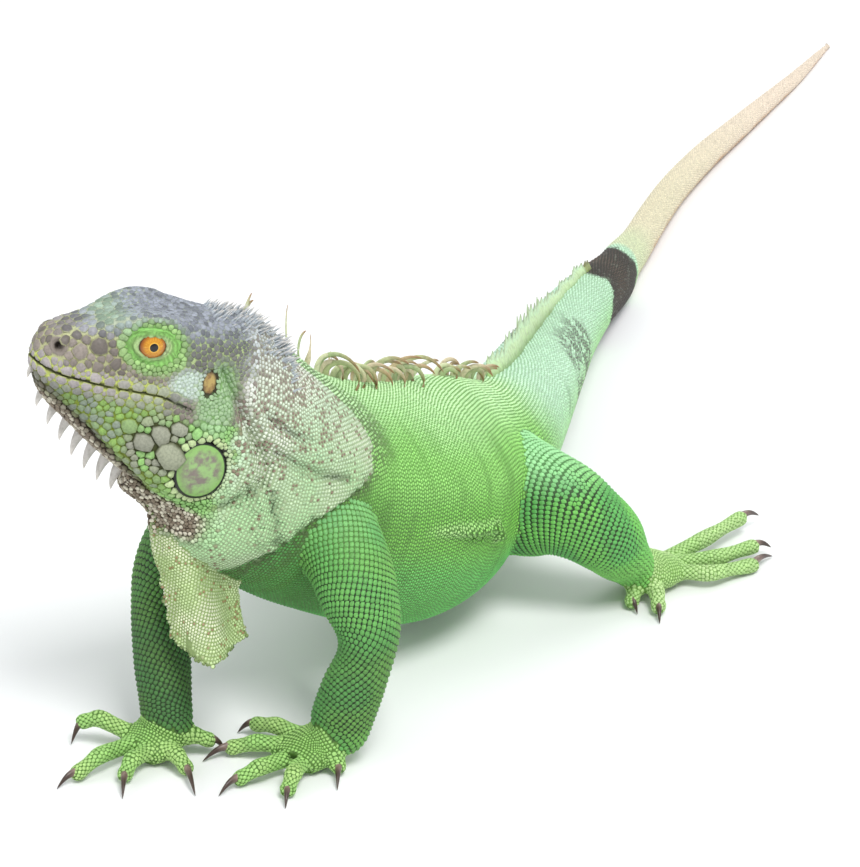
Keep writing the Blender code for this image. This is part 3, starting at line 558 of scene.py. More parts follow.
def shawl_lead(points):
    """How far a point lies in front of the edge of the loose skin over the shoulder."""
    edge = np.array(SHAWL)
    return points[:, 0] - np.interp(points[:, 2], edge[:, 0], edge[:, 1])


def refine(shape, chosen):
    """Split each chosen face of the bmesh into four."""
    faces = [face for face in shape.faces if chosen(face.calc_center_median())]
    edges = list({edge for face in faces for edge in face.edges})
    bmesh.ops.subdivide_edges(shape, edges=edges, cuts=1, use_grid_fill=True)
    bmesh.ops.triangulate(shape, faces=shape.faces)


def in_tables(corner):
    """A corner of a mesh in the tables' frame; row() goes the other way."""
    return np.array(corner) / MM + PLAN_MIDDLE


def near_head(corner):
    back, _, up = on_head(in_tables(corner))
    return back < HEAD_BACK and up > -84


def near_eye(corner):
    back, out, up = on_head(in_tables(corner))
    return math.hypot(back - EYE_AT[0], abs(out) - EYE_AT[1], up - EYE_AT[2]) < EYE_FINE


def near_detail(corner):
    """Close to the line of the mouth or to a nostril."""
    back, _, up = on_head(in_tables(corner))
    mouth = -3 < back < 76 and abs(up - mouth_up(back)) < 1.6
    return -20 < up < 12 and (mouth or nostril_gap(back, up) < 5)


def near_flank(corner):
    point = in_tables([corner])
    return 232 < point[0, 0] < 300 and to_fold(point, FLANK_FOLD).min() < 5


def to_fold(points, line):
    """Each point's distance to a fold and to the same fold of the other side."""
    return np.array([way_from(points, line), way_from(mirrored(points), line)])


def nostril_gap(back, up):
    return np.hypot(back - NOSTRIL_AT[0], up - NOSTRIL_AT[2])


def oval_gap(back, up, at, size):
    """Distance from the middle of the head's ear or shield, 1 at its rim."""
    return np.hypot((back - at[0]) / size[0], (up - at[2]) / size[2])


def fused_skin():
    """Vertices in millimetres and triangles of the fused body, finest at the eyes."""
    points, faces = joined([loft_mesh(rings) for rings in LOFTS.values()])
    body = add_object("fused", mesh_of("fused", points, faces), hidden=True)
    remesh = body.modifiers.new("Fuse", "REMESH")
    remesh.mode = "VOXEL"
    remesh.voxel_size = FUSE_VOXEL * MM
    smooth = body.modifiers.new("Smooth", "SMOOTH")
    smooth.factor = 0.5
    smooth.iterations = SMOOTH_STEPS
    count = sum(len(polygon.vertices) - 2 for polygon in evaluated(body).polygons)
    reduce = body.modifiers.new("Reduce", "DECIMATE")
    reduce.ratio = BODY_TRIANGLES / count
    mesh = baked(body)
    shape = bmesh.new()
    shape.from_mesh(mesh)
    bmesh.ops.triangulate(shape, faces=shape.faces)
    for near in (near_head, near_eye, near_detail, near_flank):
        refine(shape, near)
    fine = [corner for corner in shape.verts if near_head(corner.co)]
    for _ in range(HEAD_SMOOTH):
        bmesh.ops.smooth_vert(shape, verts=fine, factor=0.5, use_axis_x=True, use_axis_y=True,
                              use_axis_z=True)
    shape.to_mesh(mesh)
    shape.free()
    points = np.empty(len(mesh.vertices) * 3, np.float32)
    mesh.vertices.foreach_get("co", points)
    triangles = np.empty(len(mesh.polygons) * 3, np.int32)
    mesh.polygons.foreach_get("vertices", triangles)
    bpy.data.objects.remove(body)
    return points.reshape(-1, 3).astype(float) / MM + PLAN_MIDDLE, triangles.reshape(-1, 3)


def vertex_normals(points, triangles):
    first, second, third = (points[triangles[:, k]] for k in range(3))
    face = np.cross(second - first, third - first)
    total = np.zeros_like(points)
    for k in range(3):
        for axis in range(3):
            total[:, axis] += np.bincount(triangles[:, k], face[:, axis], len(points))
    return units(total)


def sculpted(points, normals):
    """The skin with its folds, pits and lids."""
    back, out, up = on_head(points)
    side = np.abs(out)
    flat = np.column_stack([back, up])
    face = ramp(112, 100, back) * ramp(-90, -80, up)
    outer = ramp(8, 14, side) * face
    mouth = way_from(flat, MOUTH)
    nostril = np.hypot(back - NOSTRIL_AT[0], (up - NOSTRIL_AT[2]) * 0.85)
    ear = oval_gap(back, up, EAR_AT, EAR_SIZE)
    shield = oval_gap(back, up, SHIELD_AT, SHIELD_SIZE)
    rise = face * (-1.2 * bell(mouth, 0.6) + 0.4 * bell(mouth - 2.2, 1.2)) - COAT_DEPTH
    rise += face * ramp(3, 6, side) * (0.9 * bell(nostril - 2.9, 0.9) - 3 * bell(nostril, 1.5))
    rise += outer * (-2.4 * ramp(1.15, 0.75, ear) + 0.8 * bell(ear - 1.45, 0.3))
    rise += outer * (-1.2 * ramp(1.1, 0.9, shield) + 0.7 * bell(shield - 1.2, 0.12))
    rise += face * ramp(10, 15, side) * bell(way_from(flat, BROW_LINE), 2.5)
    for line, depth, half in HEAD_FOLDS:
        rise += outer * depth * bell(way_from(flat, line), half)
    points = points + normals * rise[:, None]

    x, _, z = points.T
    fold = np.zeros(len(points))
    for line, depth, half in BODY_FOLDS:
        fold += depth * bell(to_fold(points, line), half).sum(0)
    lead = shawl_lead(points)
    flank = to_fold(points, FLANK_FOLD).min(0)
    frill = 1 + 0.22 * np.sin(x * 0.95) + 0.10 * np.sin(x * 1.9)
    fold += FLANK_RISE * ramp(300, 250, x) * frill * bell(flank, 2.3)
    fold += SHAWL_STEP * ramp(-0.6, 1.6, lead) * ramp(60, 12, lead) * ramp(92, 108, z)
    points = lidded(points + normals * fold[:, None])
    points[:, 2] = np.maximum(points[:, 2], SOLE_LIFT)
    return points


def about_eye(points, side):
    """Each point's step from an eye's centre, and how far it lies back, out and up from it."""
    away = points - head_point(EYE_AT[0], EYE_AT[1] * side, EYE_AT[2])
    return away, -(away @ FORWARD), away @ LEFT * side, away @ ABOVE


def lid_fold(ring):
    """The angle of the lids' folds at so many opening sizes, 0 on a crest."""
    return 2 * np.pi * (ring - LID_EDGE) / LID_FOLD


def lidded(points):
    """The skin drawn over the eyes as lids with folds round them, and open in the middle."""
    points = points.copy()
    for side in SIDES.values():
        away, along, out, up = about_eye(points, side)
        ring = np.hypot(along / EYE_OPENING[0], up / EYE_OPENING[1])
        reach = np.linalg.norm(away, axis=1)
        near = (ring < LID_REACH) & (out > 0) & (reach < EYE_FINE)
        lid = EYE_BALL + 0.9 - 0.3 * ramp(1.25, 1, ring) + 0.42 * np.cos(lid_fold(ring))
        lid += ramp(2, 6, up) * ramp(1, 1.5, ring)
        lid = np.where(ring < 1, EYE_BALL - 1.6, lid)
        wanted = reach + (lid - reach) * ramp(LID_REACH, 1.5, ring)
        points[near] = (points - away + away * (wanted / reach)[:, None])[near]
    return points


# ---- where the scales root ----
class Roots:
    """Roots of scales: place, lie, normal, half sizes along and across, region, form, unwrap."""

    FIELDS = ("place", "lie", "normal", "along", "across", "region", "form", "unwrap")

    def __init__(self, place, lie, **values):
        count = len(place)
        self.place, self.lie = place, lie
        self.normal, self.unwrap = np.zeros((count, 3)), np.zeros((count, 2))
        for field, value in values.items():
            value = np.asarray(value, float)
            setattr(self, field, value if value.ndim else np.full(count, value))

    def __len__(self):
        return len(self.place)

    def only(self, chosen):
        return Roots(**{field: getattr(self, field)[chosen] for field in self.FIELDS})

    @staticmethod
    def together(groups):
        return Roots(**{field: np.concatenate([getattr(group, field) for group in groups])
                        for field in Roots.FIELDS})


def laid_rows(rings, along, across, patch):
    """Staggered points on a loft, their lie down the loft and their place on its patch."""
    left, bottom, wide, high = patch
    rings = np.array(rings)
    steps = np.linalg.norm(np.diff(rings, axis=0), axis=2).mean(axis=1)
    travel = summed(steps)
    rows = []
    reach = 0.5 * along(0)
    while reach < travel[-1]:
        share = reach / travel[-1]
        k = min(np.searchsorted(travel, reach, side="right") - 1, len(steps) - 1)
        t = (reach - travel[k]) / max(steps[k], 1e-6)
        ring = rings[k] * (1 - t) + rings[k + 1] * t
        way = rings[k + 1] - rings[k]
        loop, ways = np.vstack([ring, ring[:1]]), np.vstack([way, way[:1]])
        round_by = travelled(loop)
        count = max(int(round(round_by[-1] / across(share))), 3)
        at = (np.arange(count) + 0.5 * (len(rows) % 2)) / count * round_by[-1]
        rows.append((across_line(at, round_by, loop), across_line(at, round_by, ways),
                     np.column_stack([left + wide * share + np.zeros(count),
                                      bottom + high * at / round_by[-1]])))
        reach += along(share)
    places, lies, unwraps = (np.concatenate(column) for column in zip(*rows))
    return places, units(lies), unwraps


REGION = {name: number for number, name in enumerate(("head", "spine", *LIMBS, *PALMS, "dewlap"))}
FORM = {"granule": 0, "keeled": 1, "plate": 2}
# Each loft's patch of the unwrap: left, bottom, width and height
PATCHES = {
    "spine": (0.02, 0.02, 0.96, 0.34),
    "head": (0.02, 0.40, 0.30, 0.30),
    "arm_left": (0.34, 0.40, 0.20, 0.14),
    "arm_right": (0.56, 0.40, 0.20, 0.14),
    "leg_left": (0.78, 0.40, 0.20, 0.14),
    "leg_right": (0.34, 0.56, 0.20, 0.14),
    "dewlap": (0.56, 0.56, 0.14, 0.20),
}


def patch_of(loft):
    """The loft's patch; the palms and digits have small ones of their own."""
    if loft in PATCHES:
        return PATCHES[loft]
    small = [name for name in LOFTS if name not in PATCHES]
    column, line = divmod(small.index(loft), 6)
    return (0.02 + 0.13 * column, 0.78 + 0.035 * line, 0.11, 0.028)


SPINE_LINE = np.array([ring.mean(axis=0) for ring in LOFTS["spine"]])
SPINE_TRAVEL = travelled(SPINE_LINE)


def spine_x(share):
    return np.interp(share * SPINE_TRAVEL[-1], SPINE_TRAVEL, SPINE_LINE[:, 0])


# Down the spine: x, then the scales' pitch along it and round it
SPINE_PITCH = np.array([
    (400, 1.6, 1.8), (345, 1.55, 1.75), (300, 1.6, 1.9), (180, 1.7, 1.9), (150, 2.1, 1.9),
    (100, 2.6, 1.9), (-50, 2.6, 1.8), (-170, 2.4, 1.8), (-200, 1.8, 1.6), (-580, 1.6, 1.4),
])[::-1]
PITCH = {"arm": (2.5, 2.45), "leg": (2.3, 2.3), "palm": (1.8, 1.8), "digit": (1.5, 2.6),
         "dewlap": (1.7, 1.6)}
ROW_SLANT = (6, 0.8)        # how far the limbs' rows lean, and towards which side


def pitches(loft):
    """The pitch along and round a loft, each as a function of the share of its length."""
    if loft == "spine":
        return [lambda share, k=k: np.interp(spine_x(share), SPINE_PITCH[:, 0], SPINE_PITCH[:, k])
                for k in (1, 2)]
    return [lambda share, size=size: size for size in PITCH[loft.split("_")[0]]]


def region_of(loft):
    return REGION["_".join(loft.split("_")[1:3]) if loft.startswith(("palm", "digit")) else loft]


def loft_roots(loft):
    along, across = pitches(loft)
    left, _, wide, _ = patch = patch_of(loft)
    limb = loft.startswith(("arm", "leg"))
    rings = slanted(LOFTS[loft], *ROW_SLANT) if limb else LOFTS[loft]
    place, lie, unwrap = laid_rows(rings, along, across, patch)
    share = (unwrap[:, 0] - left) / wide
    form = "keeled" if limb else "plate" if loft.startswith("digit") else "granule"
    return Roots(place, lie, along=0.5 * along(share), across=0.5 * across(share),
                 region=region_of(loft), unwrap=unwrap, form=FORM[form])


class Skin:
    """The fused skin before and after its folds are made, with one numbering of corners."""

    def __init__(self):
        self.plain, self.triangles = fused_skin()
        self.points = sculpted(self.plain, vertex_normals(self.plain, self.triangles))
        self.normals = vertex_normals(self.points, self.triangles)
        triangles = self.triangles.tolist()
        self.tree = BVHTree.FromPolygons(self.plain.tolist(), triangles)
        self.folded = BVHTree.FromPolygons(self.points.tolist(), triangles)

    def met(self, start, way, reach):
        """Where a line meets the folded skin, and the skin's facing there; None if it misses."""
        spot, facing, _, _ = self.folded.ray_cast(Vector(start), Vector(way), reach)
        return spot and (np.array(spot), np.array(facing))

    def footing(self, places):
        """Nearest triangle of the plain skin, shares of its corners and distance."""
        spot, _, face, _ = zip(*[self.tree.find_nearest(place) for place in places.tolist()])
        spot, face = np.array(spot), np.array(face)
        first, second, third = (self.plain[self.triangles[face, k]] for k in range(3))
        one, two, away = second - first, third - first, spot - first
        a, b, c = (one * one).sum(1), (one * two).sum(1), (two * two).sum(1)
        d, e = (away * one).sum(1), (away * two).sum(1)
        size = np.maximum(a * c - b * b, 1e-12)
        v, w = (c * d - b * e) / size, (a * e - b * d) / size
        shares = np.clip(np.column_stack([1 - v - w, v, w]), 0, 1)
        return face, shares / shares.sum(1)[:, None], np.linalg.norm(places - spot, axis=1)

    def carried(self, values, face, shares):
        return (values[self.triangles[face]] * shares[:, :, None]).sum(1)

    def seated(self, roots, slack):
        """The roots set on the folded skin, without those buried deeper than the slack."""
        face, shares, depth = self.footing(roots.place)
        kept = depth < slack
        roots = roots.only(kept)
        roots.place = self.carried(self.points, face[kept], shares[kept])
        roots.normal = units(self.carried(self.normals, face[kept], shares[kept]))
        return roots


def tree_of(places):
    """The places as a tree to search."""
    tree = KDTree(len(places))
    for k, place in enumerate(places.tolist()):
        tree.insert(place, k)
    tree.balance()
    return tree


def clear_of(places, others, gap):
    """Which places are farther than the gap from every one of the others."""
    return nearest_of(places, others)[1] > gap


def thinned(roots, room):
    """Which roots stay when each, in order, clears the room round it (a share of its size)."""
    tree = tree_of(roots.place)
    kept = np.ones(len(roots), bool)
    size = (roots.along + roots.across) / 4
    side = np.cross(roots.normal, roots.lie)
    span = np.maximum(roots.along, roots.across) * 2 * room
    for k, place in enumerate(roots.place.tolist()):
        if not kept[k]:
            continue
        others = [index for _, index, _ in tree.find_range(place, span[k])]
        others = np.array([index for index in others if index > k], int)
        if len(others):
            away = roots.place[others] - roots.place[k]
            ahead = (away @ roots.lie[k]) / (roots.along[k] + size[others])
            beside = (away @ side[k]) / (roots.across[k] + size[others])
            kept[others[ahead ** 2 + beside ** 2 < room ** 2]] = False
    return kept


def surface_samples(skin, density, chosen, seed):
    """Seeded random points on the chosen triangles of the folded skin."""
    first, second, third = (skin.points[skin.triangles[:, k]] for k in range(3))
    area = 0.5 * np.linalg.norm(np.cross(second - first, third - first), axis=1)
    area = area * chosen(skin.points[skin.triangles].mean(1))
    random = np.random.default_rng(seed)
    count = int(area.sum() * density)
    face = random.choice(len(area), count, p=area / area.sum())
    one, two = random.random((2, count))
    over = one + two > 1
    one, two = np.where(over, 1 - one, one), np.where(over, 1 - two, two)
    shares = np.column_stack([1 - one - two, one, two])
    return skin.carried(skin.points, face, shares), units(skin.carried(skin.normals, face, shares))


# ---- the head's scales ----
# Plates with a place of their own: back, up, half length, half height, lean in degrees
HEAD_PLATES = [
    (68.5, -37, 9, 6.2, -48), (56, -32.5, 6.4, 4.6, -40), (62.5, -27.5, 5.8, 3.9, -34),
    (71, -24.5, 4.6, 3.3, -20), (48, -26, 4.4, 3.4, -30), (55.5, -22.5, 3.2, 2.4, -18),
    (79, -25.5, 3.2, 2.6, 0), (20, 4.5, 3.7, 4.4, 0), (28, 8, 3.9, 4.8, 15),
    (29, -0.5, 3.2, 2.4, 0), (21.5, -2.2, 2.6, 2.2, 0), (36, 1.5, 3, 2.7, 10),
    (14.5, 12, 2.8, 2.6, 0), (5.5, 2, 2.4, 2.8, 0),
]
SNOUT_TIP = 12              # plates nearer the tip than this turn to face forward
MOUTH_GAP = 0.5             # how far the lips' scales stay from the line of the mouth
# The lips' rows: height over the mouth, then half sizes
LIP_ROWS = [(2.6, 3.2, 2.2), (-2.3, 2.8, 1.9), (-5.6, 2.4, 1.7)]


def mouth_up(back):
    line = np.array(MOUTH)
    return np.interp(back, line[:, 0], line[:, 1])


def head_pitch(back, up):
    """Half size of the head's loose scales."""
    below = mouth_up(back) - up
    snout = ramp(46, 36, back) * ramp(-4, 0, up)
    size = np.where(below > 5, 1.65 + 0.45 * ramp(8, 24, below) * ramp(90, 70, back), 1.25)
    size = np.where(below < 5, 1.15 + 0.9 * snout + 0.35 * ramp(60, 68, back), size)
    size = np.where((below < 2) & (back > 60) & (up < 6), 1, size)
    return np.where(back > 92, 0.95, size * (1 - 0.4 * gular_share(back, up)))


def gular_share(back, up):
    """1 on the strip of small rough scales along the middle of the throat."""
    edge = np.interp(back, [0, 24, 68, 110], [-11.5, -25, -59, -72])
    return ramp(1.5, -1.5, up - edge) * ramp(104, 92, back)


def eye_gap(points):
    """Distance from the opening of the eye on the same side, in opening sizes."""
    ring = np.full(len(points), 9.0)
    for side in SIDES.values():
        _, along, out, up = about_eye(points, side)
        here = np.hypot(along / EYE_OPENING[0], up / EYE_OPENING[1])
        ring = np.where((out > 0) & (here < ring), here, ring)
    return ring


def head_seeds(skin):
    """The plates and lip rows of both sides of the head, the largest first."""
    seeds = [(back, side, up, long, high, math.radians(lean))
             for side in SIDES.values() for back, up, long, high, lean in HEAD_PLATES]
    for above, long, high in LIP_ROWS:
        for side in SIDES.values():
            back = 3
            while back < 66:
                slope = (mouth_up(back + 1) - mouth_up(back - 1)) / 2
                seeds.append((back, side, mouth_up(back) + above, long, high, math.atan(slope)))
                back += 2 * long * (1 if back < 50 else 0.85)
    rows = []
    for back, side, up, long, high, lean in seeds:
        inward, start = -LEFT * side, head_point(back, 40 * side, up)
        if back < SNOUT_TIP:
            inward = unit(inward - FORWARD * (SNOUT_TIP - back) / SNOUT_TIP)
            start = head_point(back, 0, up) - inward * 40
        met = skin.met(start, inward, 60)
        if met:
            rows.append((*met, -FORWARD * math.cos(lean) + ABOVE * math.sin(lean), long, high))
    place, normal, lie, long, high = (np.array(column) for column in zip(*rows))
    return Roots(place, lie, normal=units(normal), along=long, across=high, region=REGION["head"],
                 form=FORM["plate"])


def on_the_head(points):
    back, out, up = on_head(points)
    return (back < 104) & (up > -82) & (np.abs(out) < 34)


def laid_flat(roots):
    """The roots' lies turned into the plane of the skin."""
    return units(roots.lie - (roots.lie * roots.normal).sum(1)[:, None] * roots.normal)


def head_roots(skin):
    """Seats of the head's scales: its plates first, then loose scales between them."""
    seeds = head_seeds(skin)
    place, normal = surface_samples(skin, 1.3, on_the_head, SEED)
    back, _, up = on_head(place)
    half = head_pitch(back, up)
    lie = units(-FORWARD - 0.35 * ABOVE * ramp(0, -20, up)[:, None])
    loose = Roots(place, lie, normal=normal, along=half, across=half * 0.92,
                  region=REGION["head"], form=FORM["plate"])
    roots = Roots.together([seeds, loose.only(eye_gap(place) > LID_REACH * 0.92)])
    roots = roots.only(thinned(roots, 0.93))
    back, out, up = on_head(roots.place)
    turn = np.arctan2(out, up + 15) / (2 * np.pi) + 0.5
    left, bottom, wide, high = PATCHES["head"]
    roots.unwrap = np.column_stack([left + wide * np.clip(back / 112, 0, 1), bottom + high * turn])
    roots.lie = laid_flat(roots)
    return roots


def bare_of_scales(places):
    """Where no scale grows: in the mouth's groove, the nostrils, the ears, eyes and shields."""
    back, out, up = on_head(places)
    side = np.abs(out)
    bare = (way_from(np.column_stack([back, up]), MOUTH) < 1.15) & (back < 70) & (back > -3)
    bare |= (nostril_gap(back, up) < 4.1) & (side > 3)
    bare |= (oval_gap(back, up, EAR_AT, EAR_SIZE) < 1.16) & (side > 12)
    bare |= (oval_gap(back, up, SHIELD_AT, SHIELD_SIZE) < 1.02) & (side > 12)
    return bare | (eye_gap(places) < LID_REACH * 0.9)


def off_plates(places, kept):
    """Which places lie on none of the big plates."""
    clear = np.ones(len(places), bool)
    side = np.cross(kept.normal, kept.lie)
    for k in np.flatnonzero(kept.along > BIG_PLATE):
        away = places - kept.place[k]
        ahead, beside = away @ kept.lie[k], away @ side[k]
        near = np.hypot(ahead / (kept.along[k] + 1.2), beside / (kept.across[k] + 1.2)) < 1
        clear &= ~(near & (np.abs(away @ kept.normal[k]) < kept.along[k]))
    return clear


def coat_roots(skin):
    """All roots, those of the head first and each clear of the ones before it."""
    kept = off_bare(head_roots(skin))
    for kind in ("digit", "palm", "arm", "leg", "dewlap", "spine"):
        for loft in LOFTS:
            if loft.startswith(kind):
                group = off_bare(skin.seated(loft_roots(loft), LOFT_SLACK))
                group = group.only(thinned(group, 0.62))
                clear = clear_of(group.place, kept.place, 0.72 * (group.along + group.across))
                kept = Roots.together([kept, group.only(clear & off_plates(group.place, kept))])
    return Roots.together([kept, gap_roots(skin, kept)])


def off_bare(roots):
    return roots.only(~bare_of_scales(roots.place))


def nearest_of(places, others):
    """Index of the nearest of the others to each place, and how far it is."""
    tree = tree_of(others)
    _, index, gap = zip(*[tree.find(place) for place in places.tolist()])
    return np.array(index), np.array(gap)


def gap_roots(skin, kept):
    """Scales of their neighbours' kind in the gaps that the rows left."""
    place, normal = surface_samples(skin, GAP_DENSITY, lambda centres: 1, SEED + 1)
    near, gap = nearest_of(place, kept.place)
    size = kept.along[near] + kept.across[near]
    open_spots = (gap > 0.80 * size) & ~bare_of_scales(place) & off_plates(place, kept)
    near = near[open_spots]
    fill = kept.only(near)
    fill.place = place[open_spots]
    fill.normal = normal[open_spots]
    fill.along = fill.along * 0.95
    fill.across = fill.across * 0.95
    return fill.only(thinned(fill, 0.85))


# ---- the scales' outlines ----
NEIGHBOURS = 14


def outlines(roots, spokes):
    """Rim points of every scale, as steps from its root, filling the cell its neighbours leave."""
    tree = tree_of(roots.place)
    near = np.zeros((len(roots), NEIGHBOURS), int)
    for k, place in enumerate(roots.place.tolist()):
        found = [index for _, index, _ in tree.find_n(place, NEIGHBOURS + 1) if index != k]
        near[k] = found[:NEIGHBOURS]
    lie = laid_flat(roots)
    side = np.cross(roots.normal, lie)
    away = roots.place[near] - roots.place[:, None, :]
    ahead = (away * lie[:, None, :]).sum(2)
    beside = (away * side[:, None, :]).sum(2)
    rise = (away * roots.normal[:, None, :]).sum(2)
    facing = (roots.normal[near] * roots.normal[:, None, :]).sum(2) > 0.1
    reach = np.maximum(np.hypot(ahead, beside), 1e-6)
    heading = np.arctan2(beside, ahead)
    mine = 1 / np.hypot(np.cos(heading) / roots.along[:, None],
                        np.sin(heading) / roots.across[:, None])
    across_way = away / np.maximum(np.linalg.norm(away, axis=2, keepdims=True), 1e-6)
    cosine = (across_way * roots.lie[near]).sum(2)
    theirs = 1 / np.sqrt((cosine / roots.along[near]) ** 2
                           + np.maximum(1 - cosine ** 2, 0) / roots.across[near] ** 2)
    share = reach * mine / (mine + theirs)
    rims = []
    for spoke in range(spokes):
        angle = 2 * np.pi * spoke / spokes
        toward = np.cos(heading - angle)
        span = np.where(facing & (toward > 0.25), share / np.maximum(toward, 0.25), np.inf)
        best = span.argmin(1)
        wide = 1 / np.hypot(math.cos(angle) / roots.along, math.sin(angle) / roots.across)
        limit = np.clip(1.04 * span.min(1), 0.45 * wide, 1.5 * wide)
        pick = np.arange(len(roots))
        fall = np.where(np.isfinite(span[pick, best]), rise[pick, best] / reach[pick, best] ** 2, 0)
        fall = np.clip(fall, -0.06, 0.03) * limit ** 2
        rims.append(lie * (math.cos(angle) * limit)[:, None]
                    + side * (math.sin(angle) * limit)[:, None]
                    + roots.normal * fall[:, None])
    return rims


# Each form's shoulder: share of the rim, height as a share of the scale's swell, and how much
# lower its front is than its rear; then its top: share of the way to the rear, and height
FORM_SHOULDER = {"keeled": (0.82, 0.62, 0.55), "plate": (0.88, 0.80, 0.12)}
FORM_TOP = {"granule": (0.12, 1), "keeled": (0.30, 1.15), "plate": (0, 1)}
SOLE_SHARE = 1.02           # share of the rim of a scale's underside
ROOT_DEPTH = 0.3            # how far a scale's underside lies below the skin, as a share of swell


# ---- markings ----
SLATE = shade(146, 151, 163)
SNOUT_GREY = shade(138, 128, 120)
LIP_GREY = shade(160, 153, 152)
YELLOW_SEAM = shade(186, 196, 104)
EYE_GREEN = shade(139, 198, 104)
LID_PALE = shade(186, 206, 150)
CHEEK_PALE = shade(190, 205, 194)
EAR_MINT = shade(160, 196, 146)
JAW_GREEN = shade(132, 168, 84)
JAW_GREY = shade(132, 144, 128)
JAW_SEAM = shade(122, 140, 44)
JOWL_GREEN = shade(140, 190, 110)
JOWL_MAUVE = shade(166, 162, 150)
THROAT_BROWN = shade(128, 114, 96)
THROAT_CREAM = shade(206, 200, 180)
NAPE_GREY = shade(184, 192, 198)
SHAWL_CREAM = shade(226, 228, 212)
SHAWL_MINT = shade(188, 224, 180)
SHAWL_SEAM = shade(150, 172, 130)
RUST = shade(116, 76, 68)
DARK_FLECK = shade(70, 66, 52)
DEWLAP_CREAM = shade(236, 241, 208)
DEWLAP_GREEN = shade(194, 216, 158)
DEWLAP_RUST = shade(132, 82, 52)
BACK_GREEN = shade(204, 244, 184)
SIDE_GREEN = shade(154, 217, 116)
FLANK_GREEN = shade(128, 200, 84)
BELLY_GREEN = shade(110, 200, 102)
TRUNK_SEAM = shade(96, 150, 64)
ARM_GREEN = shade(94, 166, 82)
ARM_YELLOW = shade(118, 176, 78)
ARM_SEAM = shade(30, 52, 24)
THIGH_GREEN = shade(92, 172, 86)
KNEE_MINT = shade(178, 236, 176)
HAND_GREEN = shade(158, 208, 116)
HAND_SEAM = shade(80, 120, 46)
FOOT_GREEN = shade(176, 216, 136)
TAIL_MINT = shade(198, 232, 204)
TAIL_GREEN = shade(172, 220, 160)
BAND_GREY = shade(112, 116, 104)
BAND_BLACK = shade(66, 58, 54)
REGROWN = shade(226, 218, 188)
REGROWN_TIP = shade(238, 222, 202)
REGROWN_UNDER = shade(196, 150, 110)
BLACK_EDGE = shade(22, 24, 16)


